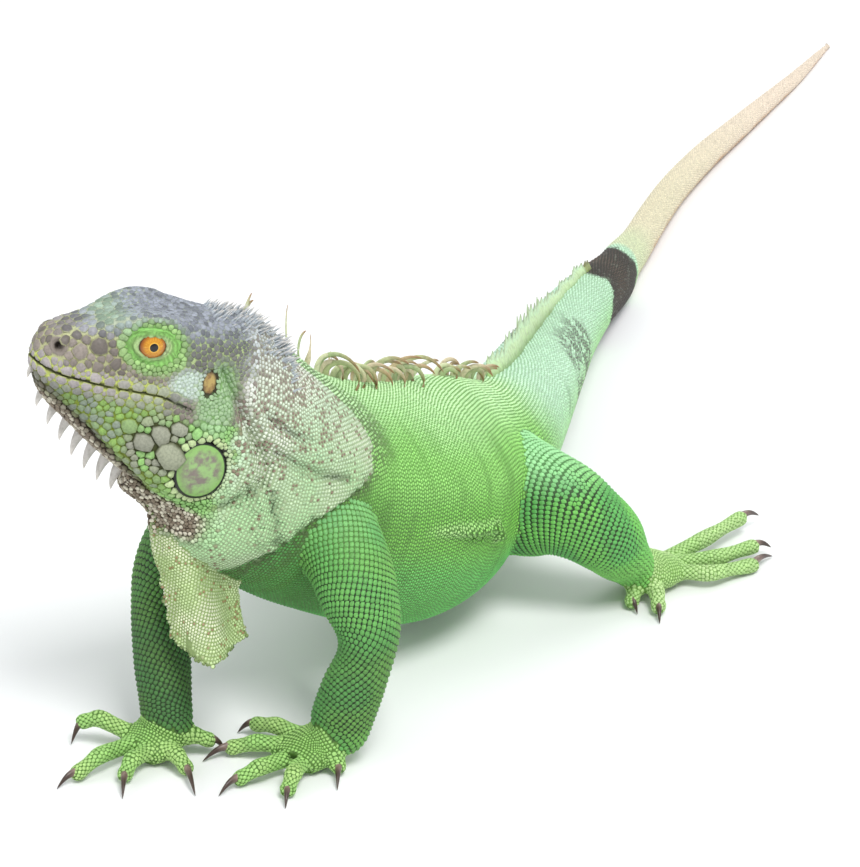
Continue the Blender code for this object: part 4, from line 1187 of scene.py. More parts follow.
def head_colours(points, luck):
    """Tone and seam of the head's scales and skin."""
    back, out, up = on_head(points)
    side = np.abs(out)
    below = mouth_up(back) - up
    patchy = cloud(points, 7, 1)
    fine = cloud(points, 3, 2)
    tone = mix(SNOUT_GREY, SLATE, ramp(8, 18, up + 2 * patchy))
    seam = mix(shade(172, 174, 130), shade(170, 180, 158), ramp(10, 20, up))
    seam = mix(seam, shade(150, 164, 132), ramp(58, 70, back) * 0.8)
    seam = mix(seam, shade(150, 156, 152), ramp(12, 18, up) * ramp(40, 60, back))
    tone = tone * (0.62 + 0.44 * luck - 0.16 * ramp(0.5, 0.1, luck) * ramp(10, 16, up))[:, None]
    green_top = bell(np.hypot(back - 33, (side - 6) * 0.7), 8) * ramp(14, 19, up)
    tone = mix(tone, EAR_MINT, 0.5 * green_top)
    behind = ramp(60, 68, back) * ramp(-2, 4, up) * ramp(22, 14, up)
    tone = mix(tone, shade(92, 94, 92), behind * 0.8)
    seam = mix(seam, shade(160, 176, 124), behind)
    eye = np.hypot((back - EYE_AT[0] - 1) / 1.25, up - EYE_AT[2] + 1)
    tone = mix(tone, mix(EYE_GREEN, shade(150, 178, 118), 0.7) * (0.8 + 0.35 * luck)[:, None],
               ramp(14.5, 10.5, eye + patchy) * ramp(8, 12, side))
    seam = mix(seam, shade(72, 104, 40), ramp(14, 11, eye) * ramp(8, 12, side))
    cheek = np.hypot((back - 72) / 1.5, up + 3.5)
    tone = mix(tone, CHEEK_PALE, ramp(8.5, 4.5, cheek + patchy))
    seam = mix(seam, shade(170, 188, 160), ramp(9, 5, cheek))
    lip = ramp(6.5, 5, np.abs(below)) * ramp(66, 58, back)
    tone = mix(tone, mix(LIP_GREY, shade(150, 170, 120), ramp(30, 60, back) * 0.5), lip)
    seam = mix(seam, YELLOW_SEAM, lip)
    jaw = ramp(4.5, 7, below)
    centre = mix(JAW_GREY, JAW_GREEN, ramp(-0.5, 0.5, fine + 0.9 * ramp(20, 60, back) - 0.4))
    centre = mix(centre, JOWL_GREEN, ramp(66, 80, back))
    tone = mix(tone, centre, jaw)
    seam = mix(seam, mix(JAW_SEAM, shade(70, 104, 40), ramp(60, 80, back)), jaw)
    tone = mix(tone, tone * 0.72, jaw * ramp(40, 14, back))
    jowl = ramp(17, 12, np.hypot(back - 63, (up + 33)))
    tone = mix(tone, mix(JOWL_MAUVE * 0.82, JOWL_GREEN, ramp(-0.1, 0.7, fine)), jowl * 0.8)
    seam = mix(seam, shade(60, 66, 24), jowl)
    ear = oval_gap(back, up, EAR_AT, EAR_SIZE)
    mint = ramp(13, 7, np.hypot(back - 86, (up + 10) * 0.6))
    tone = mix(tone, EAR_MINT, mint * 0.8)
    seam = mix(seam, shade(118, 156, 96), mint)
    # Painted shade: dark seams round the rim of the sunken ear.
    seam = mix(seam, shade(46, 40, 22), ramp(1.5, 1.2, ear) * ramp(8, 12, side))
    gular = gular_share(back, up)
    tone = mix(tone, mix(THROAT_BROWN, THROAT_CREAM, ramp(0.3, 0.85, luck)), gular)
    seam = mix(seam, shade(74, 60, 46), gular)
    edge = way_from(np.column_stack([back, up]), HEAD_FOLDS[0][0])
    seam = mix(seam, shade(48, 38, 26), bell(edge, 2))
    tone = mix(tone, shade(86, 72, 52), bell(edge, 1.6) * 0.8)
    shield = oval_gap(back, up, SHIELD_AT, SHIELD_SIZE)
    seam = mix(seam, BLACK_EDGE, ramp(1.24, 1.14, shield) * ramp(10, 14, side))
    tone = mix(tone, LID_PALE, ramp(1.26, 1.16, shield) * ramp(10, 14, side))
    # Painted shade: the nostril's pit is painted near black.
    nostril = nostril_gap(back, up) + 4 * ramp(4, 2, side)
    tone = mix(tone, shade(28, 20, 16), ramp(2.1, 1.3, nostril))
    seam = mix(seam, shade(28, 20, 16), ramp(2.4, 1.5, nostril))
    # Painted shade: a near-black line along the gap between the lips.
    mouth = way_from(np.column_stack([back, up]), MOUTH)
    seam = mix(seam, shade(20, 18, 10), bell(mouth, 1.2))
    return tone, seam


def neck_colours(points, luck):
    """Tone and seam of the neck's loose, speckled skin, with painted shade in the hollows of its
    sunken folds.
    """
    z = points[:, 2]
    high = ramp(130, 200, z)
    patchy = cloud(points, 16, 3)
    tone = mix(SHAWL_MINT, SHAWL_CREAM, ramp(-0.5, 0.5, patchy))
    tone = mix(tone, shade(236, 238, 228), high * 0.8)
    tone = mix(tone, NAPE_GREY, ramp(182, 204, z + 5 * patchy) * 0.8)
    tone = mix(tone, shade(160, 204, 136), ramp(172, 118, z) * 0.5)
    speck = 0.5 + 0.5 * cloud(points, 2.6, 4)
    chance = 0.11 + 0.22 * ramp(118, 172, z + 16 * patchy)
    spotted = ramp(1 - chance, 1.05 - chance, 0.36 * speck + 0.64 * luck + 0.10)
    tone = mix(tone, mix(RUST, shade(112, 104, 98), ramp(165, 205, z)), spotted * 0.85)
    seam = mix(SHAWL_SEAM, shade(150, 150, 134), high)
    # Painted shade: tone and seam darken along each sunken fold, where shade would fall.
    for line, depth, half in BODY_FOLDS:
        painted_fold_shade = 1 - 0.55 * bell(way_from(points, line), half * 0.8)[:, None] * (depth < 0)
        tone, seam = tone * painted_fold_shade, seam * painted_fold_shade
    return tone, seam


def level_on_spine(points):
    """Height over the middle of the trunk or tail, 1 at its top."""
    _, middle, above = spine_middle(points[:, 0])
    return (points[:, 2] - middle) / above


def trunk_colours(points, luck):
    """Tone and seam of the back, flanks and belly, with painted shade on the lower chest between
    the front legs.
    """
    x, y, z = points.T
    level = level_on_spine(points)
    patchy = cloud(points, 26, 5)
    tone = mix(SIDE_GREEN, BACK_GREEN, ramp(0.25, 0.95, level + 0.15 * patchy))
    tone = mix(tone, FLANK_GREEN, ramp(0.25, -0.45, level + 0.2 * patchy))
    tone = mix(tone, BELLY_GREEN, ramp(-0.6, -1.1, level))
    # Painted shade: the lower chest near the front legs is darkened.
    tone = mix(tone, tone * 0.62, ramp(296, 336, x) * ramp(0.1, -0.4, level))
    streaks = cloud(np.column_stack([x + 0.25 * z, y * 0.12, z * 0.12]), 5.5, 6)
    tone = mix(tone, TRUNK_SEAM * 0.7, 0.42 * ramp(0.15, 0.75, streaks) * ramp(0.9, 0.3, level))
    flank = to_fold(points, FLANK_FOLD).min(0)
    tone = mix(tone, shade(204, 240, 168), bell(flank, 3.4) * ramp(300, 266, x))
    lead = shawl_lead(points)
    flecks = ramp(-34, -5, lead) * ramp(60, 105, z) * ramp(0.35, 0.75, luck + 0.3 * streaks)
    tone = mix(tone, DARK_FLECK, 0.72 * flecks)
    seam = mix(TRUNK_SEAM, shade(62, 92, 44), ramp(0.3, -0.4, level) * 0.5)
    seam = mix(seam, DARK_FLECK, 0.55 * ramp(-26, -3, lead) * ramp(60, 100, z))
    return tone, seam


def tail_colours(points, luck):
    """Tone and seam of the tail, with its bands and its pale regrown end."""
    x = points[:, 0]
    level = level_on_spine(points)
    ragged = 9 * cloud(points, 12, 7) + 4 * cloud(points, 4, 8)
    tone = mix(TAIL_GREEN, TAIL_MINT, ramp(-0.3, 0.6, level))
    tone = mix(tone, shade(150, 205, 130), ramp(-0.2, -0.9, level) * 0.6)
    mottle = ramp(-0.1, 0.5, cloud(points, 6, 9) + 0.4 * (luck - 0.5))
    band = ramp(42, 26, np.abs(x - 14 + ragged * 0.9)) * ramp(1.05, 0.8, level)
    dots = ramp(-0.35, 0.1, cloud(points, 3.6, 14) + 0.7 * (luck - 0.5))
    tone = mix(tone, mix(BAND_BLACK, BAND_GREY, ramp(0.6, 0.9, luck) * 0.7), band * dots * 0.85)
    faint = bell(x - 92 + ragged, 16) * ramp(0.6, 0.2, level)
    tone = mix(tone, shade(98, 130, 92), faint * mottle * 0.6)
    seam = mix(shade(128, 178, 124), shade(150, 190, 150), ramp(0, 0.8, level))
    black = ramp(35, 30, np.abs(x + 135 + ragged * 0.9))
    brown = bell(x + 135 + ragged, 16) * ramp(-0.3, 0.3, level) * 0.8
    brown = mix(BAND_BLACK, shade(92, 76, 66), brown)
    tone = mix(tone, mix(brown, BAND_GREY, ramp(0.75, 0.95, luck) * 0.5), black)
    seam = mix(seam, BLACK_EDGE * 1.5, black)
    regrown = ramp(-172, -180, x + ragged * 0.3)
    pale = mix(REGROWN, REGROWN_TIP, ramp(-250, -480, x))
    pale = mix(pale, REGROWN_UNDER, ramp(0, -0.9, level + 0.3 * ragged / 9) * 0.8)
    pale = mix(pale, shade(205, 220, 178), ramp(-235, -190, x) * 0.7)
    tone = mix(tone, pale, regrown)
    seam = mix(seam, pale * 0.85, regrown)
    return tone, seam


def limb_colours(points, luck, kind):
    """Tone and seam of an arm, leg, hand or foot; the arms carry a painted highlight on top and
    painted shade on the forearm and on the right arm.
    """
    _, y, z = points.T
    patchy = cloud(points, 13, 10)
    if kind == "arm":
        tone = mix(ARM_GREEN, ARM_YELLOW, ramp(-0.6, 0.6, patchy) * 0.7)
        # Painted highlight: a paler bluish green on top of the upper arm.
        tone = mix(tone, shade(130, 196, 134), ramp(95, 125, z) * 0.6)
        # Painted shade: the forearm, under the chest, is darkened.
        tone = mix(tone, tone * 0.68, ramp(78, 54, z) * ramp(12, 24, z))
        # Painted shade: the right arm, on the far side, is darkened.
        tone = mix(tone, tone * 0.62, ramp(0, -20, y))
        seam = mix(ARM_SEAM, shade(50, 84, 36), ramp(20, 8, z))
        seam = mix(seam, TRUNK_SEAM * 0.7, ramp(86, 108, z) * 0.8)
    elif kind == "leg":
        tone = mix(THIGH_GREEN, shade(112, 190, 86), ramp(-0.5, 0.6, patchy))
        tone = mix(tone, KNEE_MINT, ramp(66, 88, z) * 0.75)
        tone = mix(tone, shade(128, 196, 96), ramp(36, 20, z) * 0.7)
        seam = mix(ARM_SEAM * 1.4, shade(76, 120, 50), ramp(34, 16, z))
        seam = mix(seam, shade(92, 150, 84), ramp(68, 88, z) * 0.8)
    elif kind == "hand":
        tone = mix(HAND_GREEN, shade(176, 214, 128), ramp(-0.5, 0.6, patchy))
        seam = np.broadcast_to(HAND_SEAM, points.shape)
    else:
        tone = mix(FOOT_GREEN, shade(190, 222, 150), ramp(-0.5, 0.6, patchy))
        seam = np.broadcast_to(shade(110, 152, 70), points.shape)
    tone = mix(tone, tone * 0.62, ramp(0.8, 1, luck) * 0.6)
    return tone, seam


def dewlap_colours(points, luck):
    """Tone and seam of the dewlap."""
    z = points[:, 2]
    patchy = cloud(points, 14, 11)
    tone = mix(DEWLAP_GREEN, DEWLAP_CREAM, ramp(-0.5, 0.4, patchy) * ramp(58, 74, z))
    tone = mix(tone, shade(164, 186, 128), ramp(104, 124, z) * 0.6)
    tone = mix(tone, tone * 0.72, ramp(0, 0.7, cloud(points * (1, 1, 0.25), 7, 15)))
    speck = 0.5 + 0.5 * cloud(points, 3, 12)
    tone = mix(tone, DEWLAP_RUST, ramp(0.80, 0.84, 0.25 * speck + 0.75 * luck) * 0.8)
    seam = np.broadcast_to(shade(134, 156, 96), points.shape)
    return tone, seam


def markings(points, region, luck):
    """Tone and seam of every scale or corner of the skin, as linear light."""
    neck = ramp(-1.5, 1.5, shawl_lead(points)) * ramp(44, 60, points[:, 2])
    tail = ramp(172, 128, points[:, 0] + 6 * cloud(points, 20, 13))
    back, out, up = on_head(points)
    head = ramp(104, 94, back + 4 * cloud(points, 6, 14)) * ramp(-86, -78, up) \
        * ramp(40, 34, np.abs(out)) * (region != REGION["dewlap"])
    layers = [(neck_colours(points, luck), neck), (tail_colours(points, luck), tail),
              (dewlap_colours(points, luck), region == REGION["dewlap"])]
    for kind in ("arm", "leg", "hand", "foot"):
        here = (region == REGION[f"{kind}_left"]) | (region == REGION[f"{kind}_right"])
        layers.append((limb_colours(points, luck, kind), here * (1 - neck * (kind == "arm"))))
    layers.append((head_colours(points, luck), head))
    tone, seam = trunk_colours(points, luck)
    for (over, edge), share in layers:
        tone, seam = mix(tone, over, share), mix(seam, edge, share)
    return np.clip(tone * (0.90 + 0.2 * luck)[:, None], 0, 1), np.clip(seam, 0, 1)


# ---- node trees ----
class Wire:
    """A node's output that can be used in sums; an expression adds its Math nodes."""

    def __init__(self, graph, socket):
        self.graph = graph
        self.socket = socket

    def sum(self, operation, first, second):
        return self.graph.add("ShaderNodeMath", {"operation": operation}, {0: first, 1: second})

    def __add__(self, other):
        return self.sum("ADD", self, other)

    def __radd__(self, other):
        return self.sum("ADD", other, self)

    def __rsub__(self, other):
        return self.sum("SUBTRACT", other, self)

    def __mul__(self, other):
        return self.sum("MULTIPLY", self, other)

    def __rmul__(self, other):
        return self.sum("MULTIPLY", other, self)

    def plus(self, other):
        """The sum of two vectors."""
        return self.graph.add("ShaderNodeVectorMath", {"operation": "ADD"}, {0: self, 1: other})

    def between(self, low, high):
        """0 below low and 1 above high, smooth between."""
        return self.graph.add("ShaderNodeMapRange", {"interpolation_type": "SMOOTHSTEP"},
                              {"Value": self, "From Min": low, "From Max": high})


class Graph:
    """A node tree, with one method that adds any node."""

    def __init__(self, tree):
        self.tree = tree

    def add(self, kind, settings=(), inputs=(), output=0):
        node = self.tree.nodes.new(kind)
        for name, value in dict(settings).items():
            setattr(node, name, value)
        for key, value in dict(inputs).items():
            self.feed(node.inputs[key], value)
        return Wire(self, node.outputs[output])

    def feed(self, socket, value):
        if isinstance(value, Wire):
            self.tree.links.new(value.socket, socket)
        else:
            socket.default_value = value

    def attribute(self, name, output=0):
        return self.add("ShaderNodeAttribute", {"attribute_name": name}, output=output)

    def measure(self, name):
        return self.attribute(name, "Fac")

    def named(self, name, kind):
        return self.add("GeometryNodeInputNamedAttribute", {"data_type": kind}, {"Name": name})

    def layers(self, colour, *over):
        """A colour with others laid over it, each by its share."""
        for share, other in over:
            inputs = {0: share, 6: colour, 7: other}
            colour = self.add("ShaderNodeMix", {"data_type": "RGBA"}, inputs, 2)
        return colour

    def stretched(self, vector, amount):
        inputs = {0: vector, "Scale": amount}
        return self.add("ShaderNodeVectorMath", {"operation": "SCALE"}, inputs)

    def noise(self, where, scale, detail=3, rough=0.5):
        inputs = {"Vector": where, "Scale": scale, "Detail": detail, "Roughness": rough}
        return self.add("ShaderNodeTexNoise", {}, inputs)

    def close(self, geometry, finish):
        """End the tree with the finish and the group's output."""
        inputs = {"Geometry": geometry, "Material": finish}
        geometry = self.add("GeometryNodeSetMaterial", {}, inputs)
        self.feed(self.tree.nodes.new("NodeGroupOutput").inputs[0], geometry)


def making_tree(name, inputs, output):
    """The graph of a new Geometry Nodes tree, and a wire for each of its named inputs."""
    tree = bpy.data.node_groups.new(name, "GeometryNodeTree")
    for label, kind in inputs.items():
        tree.interface.new_socket(label, in_out="INPUT", socket_type=f"NodeSocket{kind}")
    tree.interface.new_socket(output, in_out="OUTPUT", socket_type="NodeSocketGeometry")
    graph = Graph(tree)
    given = tree.nodes.new("NodeGroupInput")
    return graph, [Wire(graph, socket) for socket in given.outputs[:len(inputs)]]


def paint(red, green, blue):
    """A colour socket's value from a colour as the eye names it."""
    return (*shade(red, green, blue), 1)


class Finish(Graph):
    """A material of one Principled shader, its pattern taken from places on the object."""

    def __init__(self, name, rough, shine, **constants):
        self.material = bpy.data.materials.new(name)
        self.material.use_nodes = True
        super().__init__(self.material.node_tree)
        self.shader = self.tree.nodes["Principled BSDF"]
        self.place = self.add("ShaderNodeTexCoord", output="Object")
        self.set(Roughness=rough, Specular_IOR_Level=shine, **constants)

    def set(self, **sockets):
        for name, value in sockets.items():
            self.feed(self.shader.inputs[name.replace("_", " ")], value)

    def grain(self, scale, detail=3, rough=0.6):
        return self.noise(self.place, scale, detail, rough)

    def bump(self, height, strength, distance=0.0002):
        inputs = {"Height": height, "Strength": strength, "Distance": distance}
        self.set(Normal=self.add("ShaderNodeBump", {}, inputs))

    def done(self, colour, **sockets):
        self.set(Base_Color=colour, **sockets)
        return self.material


def coat_finish():
    """Horny scales: their own tone, darker and matter in the seams."""
    finish = Finish("scale keratin", 0.5, 0.42)
    rim = finish.measure("rim")
    fine = finish.grain(900, rough=0.5)
    tone = finish.layers(finish.attribute("tone"),
                         (fine.between(0.35, 0.7) * 0.28, paint(60, 64, 50)))
    colour = finish.layers(tone, (rim.between(0.78, 1) * 0.9, finish.attribute("seam")))
    finish.bump(fine, 0.25)
    return finish.done(colour, Roughness=0.40 + 0.22 * rim + 0.1 * fine)


def skin_finish():
    """The skin between the scales, smooth on the lids and in the mouth."""
    finish = Finish("soft skin", 0.6, 0.35)
    fine = finish.grain(700, rough=0.5)
    finish.bump(fine, 0.3)
    colour = finish.layers(finish.attribute("seam"),
                           (finish.measure("bare"), finish.attribute("tone")),
                           (fine.between(0.4, 0.7) * 0.25, paint(70, 70, 50)))
    return finish.done(colour, Roughness=0.5 + 0.2 * fine)


def toned_finish(name, rough, dark_end):
    """Horn that takes its tone from the piece and darkens to its tip."""
    finish = Finish(name, rough, 0.45)
    fine = finish.grain(500, rough=0.5)
    finish.bump(fine, 0.25)
    return finish.done(finish.layers(finish.attribute("tone"),
                                     (finish.measure("tip").between(0.45, 1), dark_end),
                                     (fine.between(0.4, 0.75) * 0.3, paint(90, 84, 60))))


def eye_finish():
    """A wet eye: black pupil, orange iris with darker fibres and rim."""
    finish = Finish("wet eye", 0.15, 0.35, Coat_Weight=0.35, Coat_Roughness=0.03)
    polar = finish.measure("polar")
    fibres = finish.noise(finish.attribute("spokes"), 3, 4, 0.6)
    return finish.done(finish.layers(
        paint(180, 116, 18),
        (fibres.between(0.35, 0.7), paint(206, 150, 40)),
        (polar.between(24, 38), paint(150, 84, 14)),
        (1 - polar.between(13, 17.5), paint(226, 178, 66)),
        (polar.between(36, 45), paint(60, 30, 10)),
        (1 - polar.between(12.2, 13.6), paint(8, 8, 10))))


def shield_finish():
    """The big cheek shield: green with mauve-brown clouds and a black edge."""
    finish = Finish("cheek shield", 0.38, 0.45)
    radial = finish.measure("radial")
    clouds, veins = finish.grain(120, 4), finish.grain(420)
    finish.bump(veins, 0.2, 0.0003)
    return finish.done(finish.layers(
        paint(140, 176, 110),
        (clouds.between(0.44, 0.6), paint(122, 112, 104)),
        (radial.between(0.55, 0.92) * 0.9, paint(126, 172, 88)),
        (veins.between(0.5, 0.7) * 0.4, paint(110, 96, 92)),
        (radial.between(0.88, 0.92), paint(12, 14, 8))), Roughness=0.35 + 0.2 * veins)


def ear_finish():
    """The thin skin of the ear: orange-brown, with painted shade darkening it towards its sunken
    rim.
    """
    finish = Finish("ear drum", 0.4, 0.45)
    return finish.done(finish.layers(
        paint(172, 148, 86),
        (finish.grain(260).between(0.4, 0.65), paint(128, 96, 56)),
        # Painted shade towards the rim, where the ear sinks into the head.
        (finish.measure("radial").between(0.55, 1), paint(54, 48, 28))))


def claw_finish():
    """Claw horn: pinkish grey at the root, dark brown to the tip."""
    finish = Finish("claw horn", 0.32, 0.5)
    streaks = finish.grain(380)
    return finish.done(finish.layers(
        paint(150, 128, 118),
        (streaks.between(0.35, 0.7), paint(112, 92, 84)),
        (finish.measure("tip").between(0.15, 0.6), paint(62, 46, 38))),
        Roughness=0.28 + 0.15 * streaks)


# ---- the coat ----
def form_mesh(form, spokes):
    """One scale: spoke, share of the rim and lift of its corners, and its faces."""
    spots = [(spoke, SOLE_SHARE, -ROOT_DEPTH) for spoke in range(spokes)]
    if form in FORM_SHOULDER:
        share, high, lean = FORM_SHOULDER[form]
        spots += [(spoke, share, high + lean * (math.cos(2 * math.pi * spoke / spokes) - 1) * 0.5)
                  for spoke in range(spokes)]
    top = len(spots)
    inner = top - spokes
    faces = [tuple(reversed(range(spokes)))]
    for k in range(spokes):
        n = (k + 1) % spokes
        faces.append((top, inner + k, inner + n))
        if inner:
            faces.append((inner + k, k, n, inner + n))
    return spots + [(0, *FORM_TOP[form])], faces


def form_object(form, spokes):
    """The form as a hidden object whose attributes tell the coat's tree where corners go."""
    spots, faces = form_mesh(form, spokes)
    spoke, share, lift = np.array(spots).T
    angle = 2 * np.pi * spoke / spokes
    flat = np.column_stack([share * np.cos(angle), share * np.sin(angle), np.zeros(len(spots))])
    mesh = bpy.data.meshes.new(f"{form} form")
    mesh.from_pydata((flat + np.outer(lift, UPWARD)).tolist(), [], faces)
    rim = np.where(lift >= 0, share / SOLE_SHARE, 1)
    carry(mesh, spoke=spoke, rim=rim, share=share, lift=lift, flat=flat)
    return add_object(f"{form} form", mesh, hidden=True)


def coat_tree(spokes):
    """Scales on points: each form's corners are moved to the rim that its root carries."""
    inputs = {"Roots": "Geometry", "Form": "Object", "Patch Size": "Float", "Finish": "Material"}
    graph, (roots, form, patch, finish) = making_tree("scale coat", inputs, "Coat")
    shape = graph.add("GeometryNodeObjectInfo", {}, {"Object": form}, "Geometry")
    scales = graph.add("GeometryNodeInstanceOnPoints", {},
                       {"Points": roots, "Instance": shape, "Scale": (0, 0, 0)})
    scales = graph.add("GeometryNodeRealizeInstances", {}, {"Geometry": scales})
    switch = graph.tree.nodes.new("GeometryNodeIndexSwitch")
    switch.data_type = "VECTOR"
    while len(switch.index_switch_items) < spokes:
        switch.index_switch_items.new()
    graph.feed(switch.inputs["Index"], graph.named("spoke", "INT"))
    for spoke in range(spokes):
        graph.feed(switch.inputs[spoke + 1], graph.named(f"rim_{spoke}", "FLOAT_VECTOR"))
    reach = graph.stretched(Wire(graph, switch.outputs[0]), graph.named("share", "FLOAT"))
    height = graph.named("swell", "FLOAT") * graph.named("lift", "FLOAT")
    rise = graph.stretched(graph.named("outward", "FLOAT_VECTOR"), height)
    scales = graph.add("GeometryNodeSetPosition", {},
                       {"Geometry": scales, "Offset": reach.plus(rise)})
    flat = graph.stretched(graph.named("flat", "FLOAT_VECTOR"), patch * 0.5)
    scales = graph.add("GeometryNodeStoreNamedAttribute",
                       {"data_type": "FLOAT2", "domain": "CORNER"},
                       {"Geometry": scales, "Name": "OFBake",
                        "Value": graph.named("unwrap", "FLOAT_VECTOR").plus(flat)})
    graph.close(scales, finish)
    return graph.tree


def run_tree(name, mesh, tree, values):
    """The plain mesh that a tree makes of a mesh, with its inputs set by identifier."""
    thing = add_object(name, mesh, hidden=True)
    modifier = thing.modifiers.new("Make", "NODES")
    modifier.node_group = tree
    for item in tree.interface.items_tree:
        if item.item_type == "SOCKET" and item.in_out == "INPUT" and item.name in values:
            modifier[item.identifier] = values[item.name]
    made = baked(thing)
    bpy.data.objects.remove(thing)
    return made


PATCH_SIZE = 0.003
PIECE_TRIANGLES = 190000    # most triangles in one piece
FORM_FIELDS = ("spoke", "share", "lift", "flat")  # what the tree alone needs of a form


def coat_piece(name, roots, rims, chosen, tree, form, finish):
    """One piece of the coat, from some of the roots."""
    spare = {f"rim_{spoke}": rim[chosen] * MM for spoke, rim in enumerate(rims)}
    spare.update(outward=roots.normal[chosen], swell=roots.swell[chosen] * MM,
                 unwrap=np.column_stack([roots.unwrap[chosen], np.zeros(len(chosen))]))
    mesh = bpy.data.meshes.new(name)
    mesh.from_pydata(row(roots.place[chosen]).tolist(), [], [])
    carry(mesh, **spare, tone=roots.tone[chosen], seam=roots.seam[chosen])
    made = run_tree(name, mesh, tree, {"Form": form, "Patch Size": PATCH_SIZE, "Finish": finish})
    for field in (*spare, *FORM_FIELDS):
        if field in made.attributes:
            made.attributes.remove(made.attributes[field])
    return finished(name, made, finish)


def swell_of(roots):
    """How high each scale stands, in millimetres."""
    back, _, up = on_head(roots.place)
    head = roots.region == REGION["head"]
    on_face = head & (mouth_up(back) - up <= 5)
    share = np.where(roots.form == FORM["keeled"], 0.50, 0.42)
    share = np.where(on_face, 0.30, np.where(head, 0.42, share))
    tail = ramp(170, 120, roots.place[:, 0]) * (roots.region == REGION["spine"])
    swell = share * np.minimum(roots.along, roots.across)
    return swell * (1 + 1.4 * gular_share(back, up) * head) * (1 + 0.25 * tail)


def mouth_kept_clear(roots, rims):
    """Scales of the lips drawn back from the line of the mouth."""
    back, _, up = on_head(roots.place)
    above = up - mouth_up(back)
    near = (roots.region == REGION["head"]) & (back < 72) & (np.abs(above) < 7)
    room = np.abs(above[near])
    for rim in rims:
        back, _, up = on_head(roots.place[near] + rim[near])
        end = (up - mouth_up(back)) * np.sign(above[near])
        share = np.where(end < MOUTH_GAP, (room - MOUTH_GAP) / np.maximum(room - end, 1e-3), 1)
        rim[near] *= np.clip(share, 0.05, 1)[:, None]


def make_coat(skin, finish):
    """Every scale of the body, in pieces by region; gives back the roots."""
    roots = coat_roots(skin)
    roots.swell = swell_of(roots)
    luck = np.random.default_rng(SEED + 2).random(len(roots))
    roots.tone, roots.seam = markings(roots.place, roots.region, luck)
    head = roots.region == REGION["head"]
    for spokes, chosen in ((8, head), (6, ~head)):
        tree = coat_tree(spokes)
        rims = outlines(roots, spokes)
        mouth_kept_clear(roots, rims)
        for form, kind in FORM.items():
            group = np.flatnonzero(chosen & (roots.form == kind))
            if not len(group):
                continue
            shape = form_object(form, spokes)
            room = PIECE_TRIANGLES // sum(len(face.vertices) - 2 for face in shape.data.polygons)
            order = group[np.lexsort((roots.place[group, 0], roots.region[group]))]
            for number, part in enumerate(np.array_split(order, math.ceil(len(order) / room)), 1):
                name = f"coat_{form}_{spokes}_{number}"
                coat_piece(name, roots, rims, part, tree, shape, finish)
            bpy.data.objects.remove(shape)
    return roots


FLESH = ["head", "neck", "trunk", "tail_base", "tail_fore", "tail_middle", "tail_end", "dewlap"]
FLESH += [f"{part}_{side}" for side in SIDES
          for part in ("upper_arm", "forearm", "hand", "thigh", "shank", "foot")]


def make_skin(skin, roots, finish):
    """The one skin that stands for every node of flesh."""
    near, _ = nearest_of(skin.points, roots.place)
    luck = np.full(len(skin.points), 0.5)
    tone, seam = markings(skin.points, roots.region[near], luck)
    ring = eye_gap(skin.points)
    lid = mix(LID_PALE, EYE_GREEN, ramp(1.2, 1.9, ring))
    # Painted shade in the troughs between the lids' folds.
    lid_fold_shade = 0.5 - 0.5 * np.cos(lid_fold(ring))
    lid = mix(lid, shade(64, 92, 34), lid_fold_shade * 0.65 * ramp(1.15, 1.4, ring))
    # Painted shade: near black at the lids' edge, where they turn in against the eyeball.
    lid = mix(lid, shade(30, 26, 14), ramp(1.12, 1, ring))
    bare = ramp(LID_REACH * 1.02, LID_REACH * 0.9, ring)
    tone = mix(tone, lid, bare)
    back, out, up = on_head(skin.points)
    # The skin is also bare at the nostrils, so their pits show the near-black painted shade.
    bare = np.maximum(bare, ramp(4.4, 3.8, nostril_gap(back, up)) * ramp(2, 4, np.abs(out)))
    mesh = mesh_of("skin", skin.points, skin.triangles.tolist())
    carry(mesh, tone=np.clip(tone, 0, 1), seam=seam, bare=bare)
    finished("skin", mesh, finish, FLESH)


# ---- eyes, ears, shields and claws ----
def round_faces(rings, around, first=0):
    """Faces of so many rings round the corner numbered first."""
    turns = [(n, (n + 1) % around) for n in range(around)]
    faces = [(first, first + 1 + n, first + 1 + m) for n, m in turns]
    for start in range(first + 1, first + 1 + (rings - 1) * around, around):
        faces += [(start + n, start + around + n, start + around + m, start + m) for n, m in turns]
    return faces


def make_eye(side_name, finish):
    """An eyeball whose attributes give the angle from its gaze and a turning direction."""
    side = SIDES[side_name]
    gaze = unit(LEFT * side + FORWARD * 0.10 + ABOVE * 0.06)
    first = unit(np.cross(gaze, ABOVE))
    second = np.cross(gaze, first)
    steps, around = 48, 48
    polars, ways, turns = [0], [gaze], [np.zeros(3)]
    for k in range(1, steps):
        polar = math.pi * k / steps
        for n in range(around):
            across, along = (f(2 * math.pi * n / around) for f in (math.cos, math.sin))
            way = first * across + second * along
            ways.append(gaze * math.cos(polar) + way * math.sin(polar))
            polars.append(math.degrees(polar))
            turns.append(np.array([across, along, polar * 0.25]) * 4)
    last = len(ways)
    faces = round_faces(steps - 1, around) \
        + [(last, last - around + (n + 1) % around, last - around + n) for n in range(around)]
    centre = head_point(EYE_AT[0], EYE_AT[1] * side, EYE_AT[2])
    mesh = mesh_of("eyeball", centre + np.array(ways + [-gaze]) * EYE_BALL, faces)
    carry(mesh, polar=polars + [180], spokes=turns + [np.zeros(3)])
    finished(f"eyeball_{side_name}", mesh, finish, [f"eye_{side_name}"])


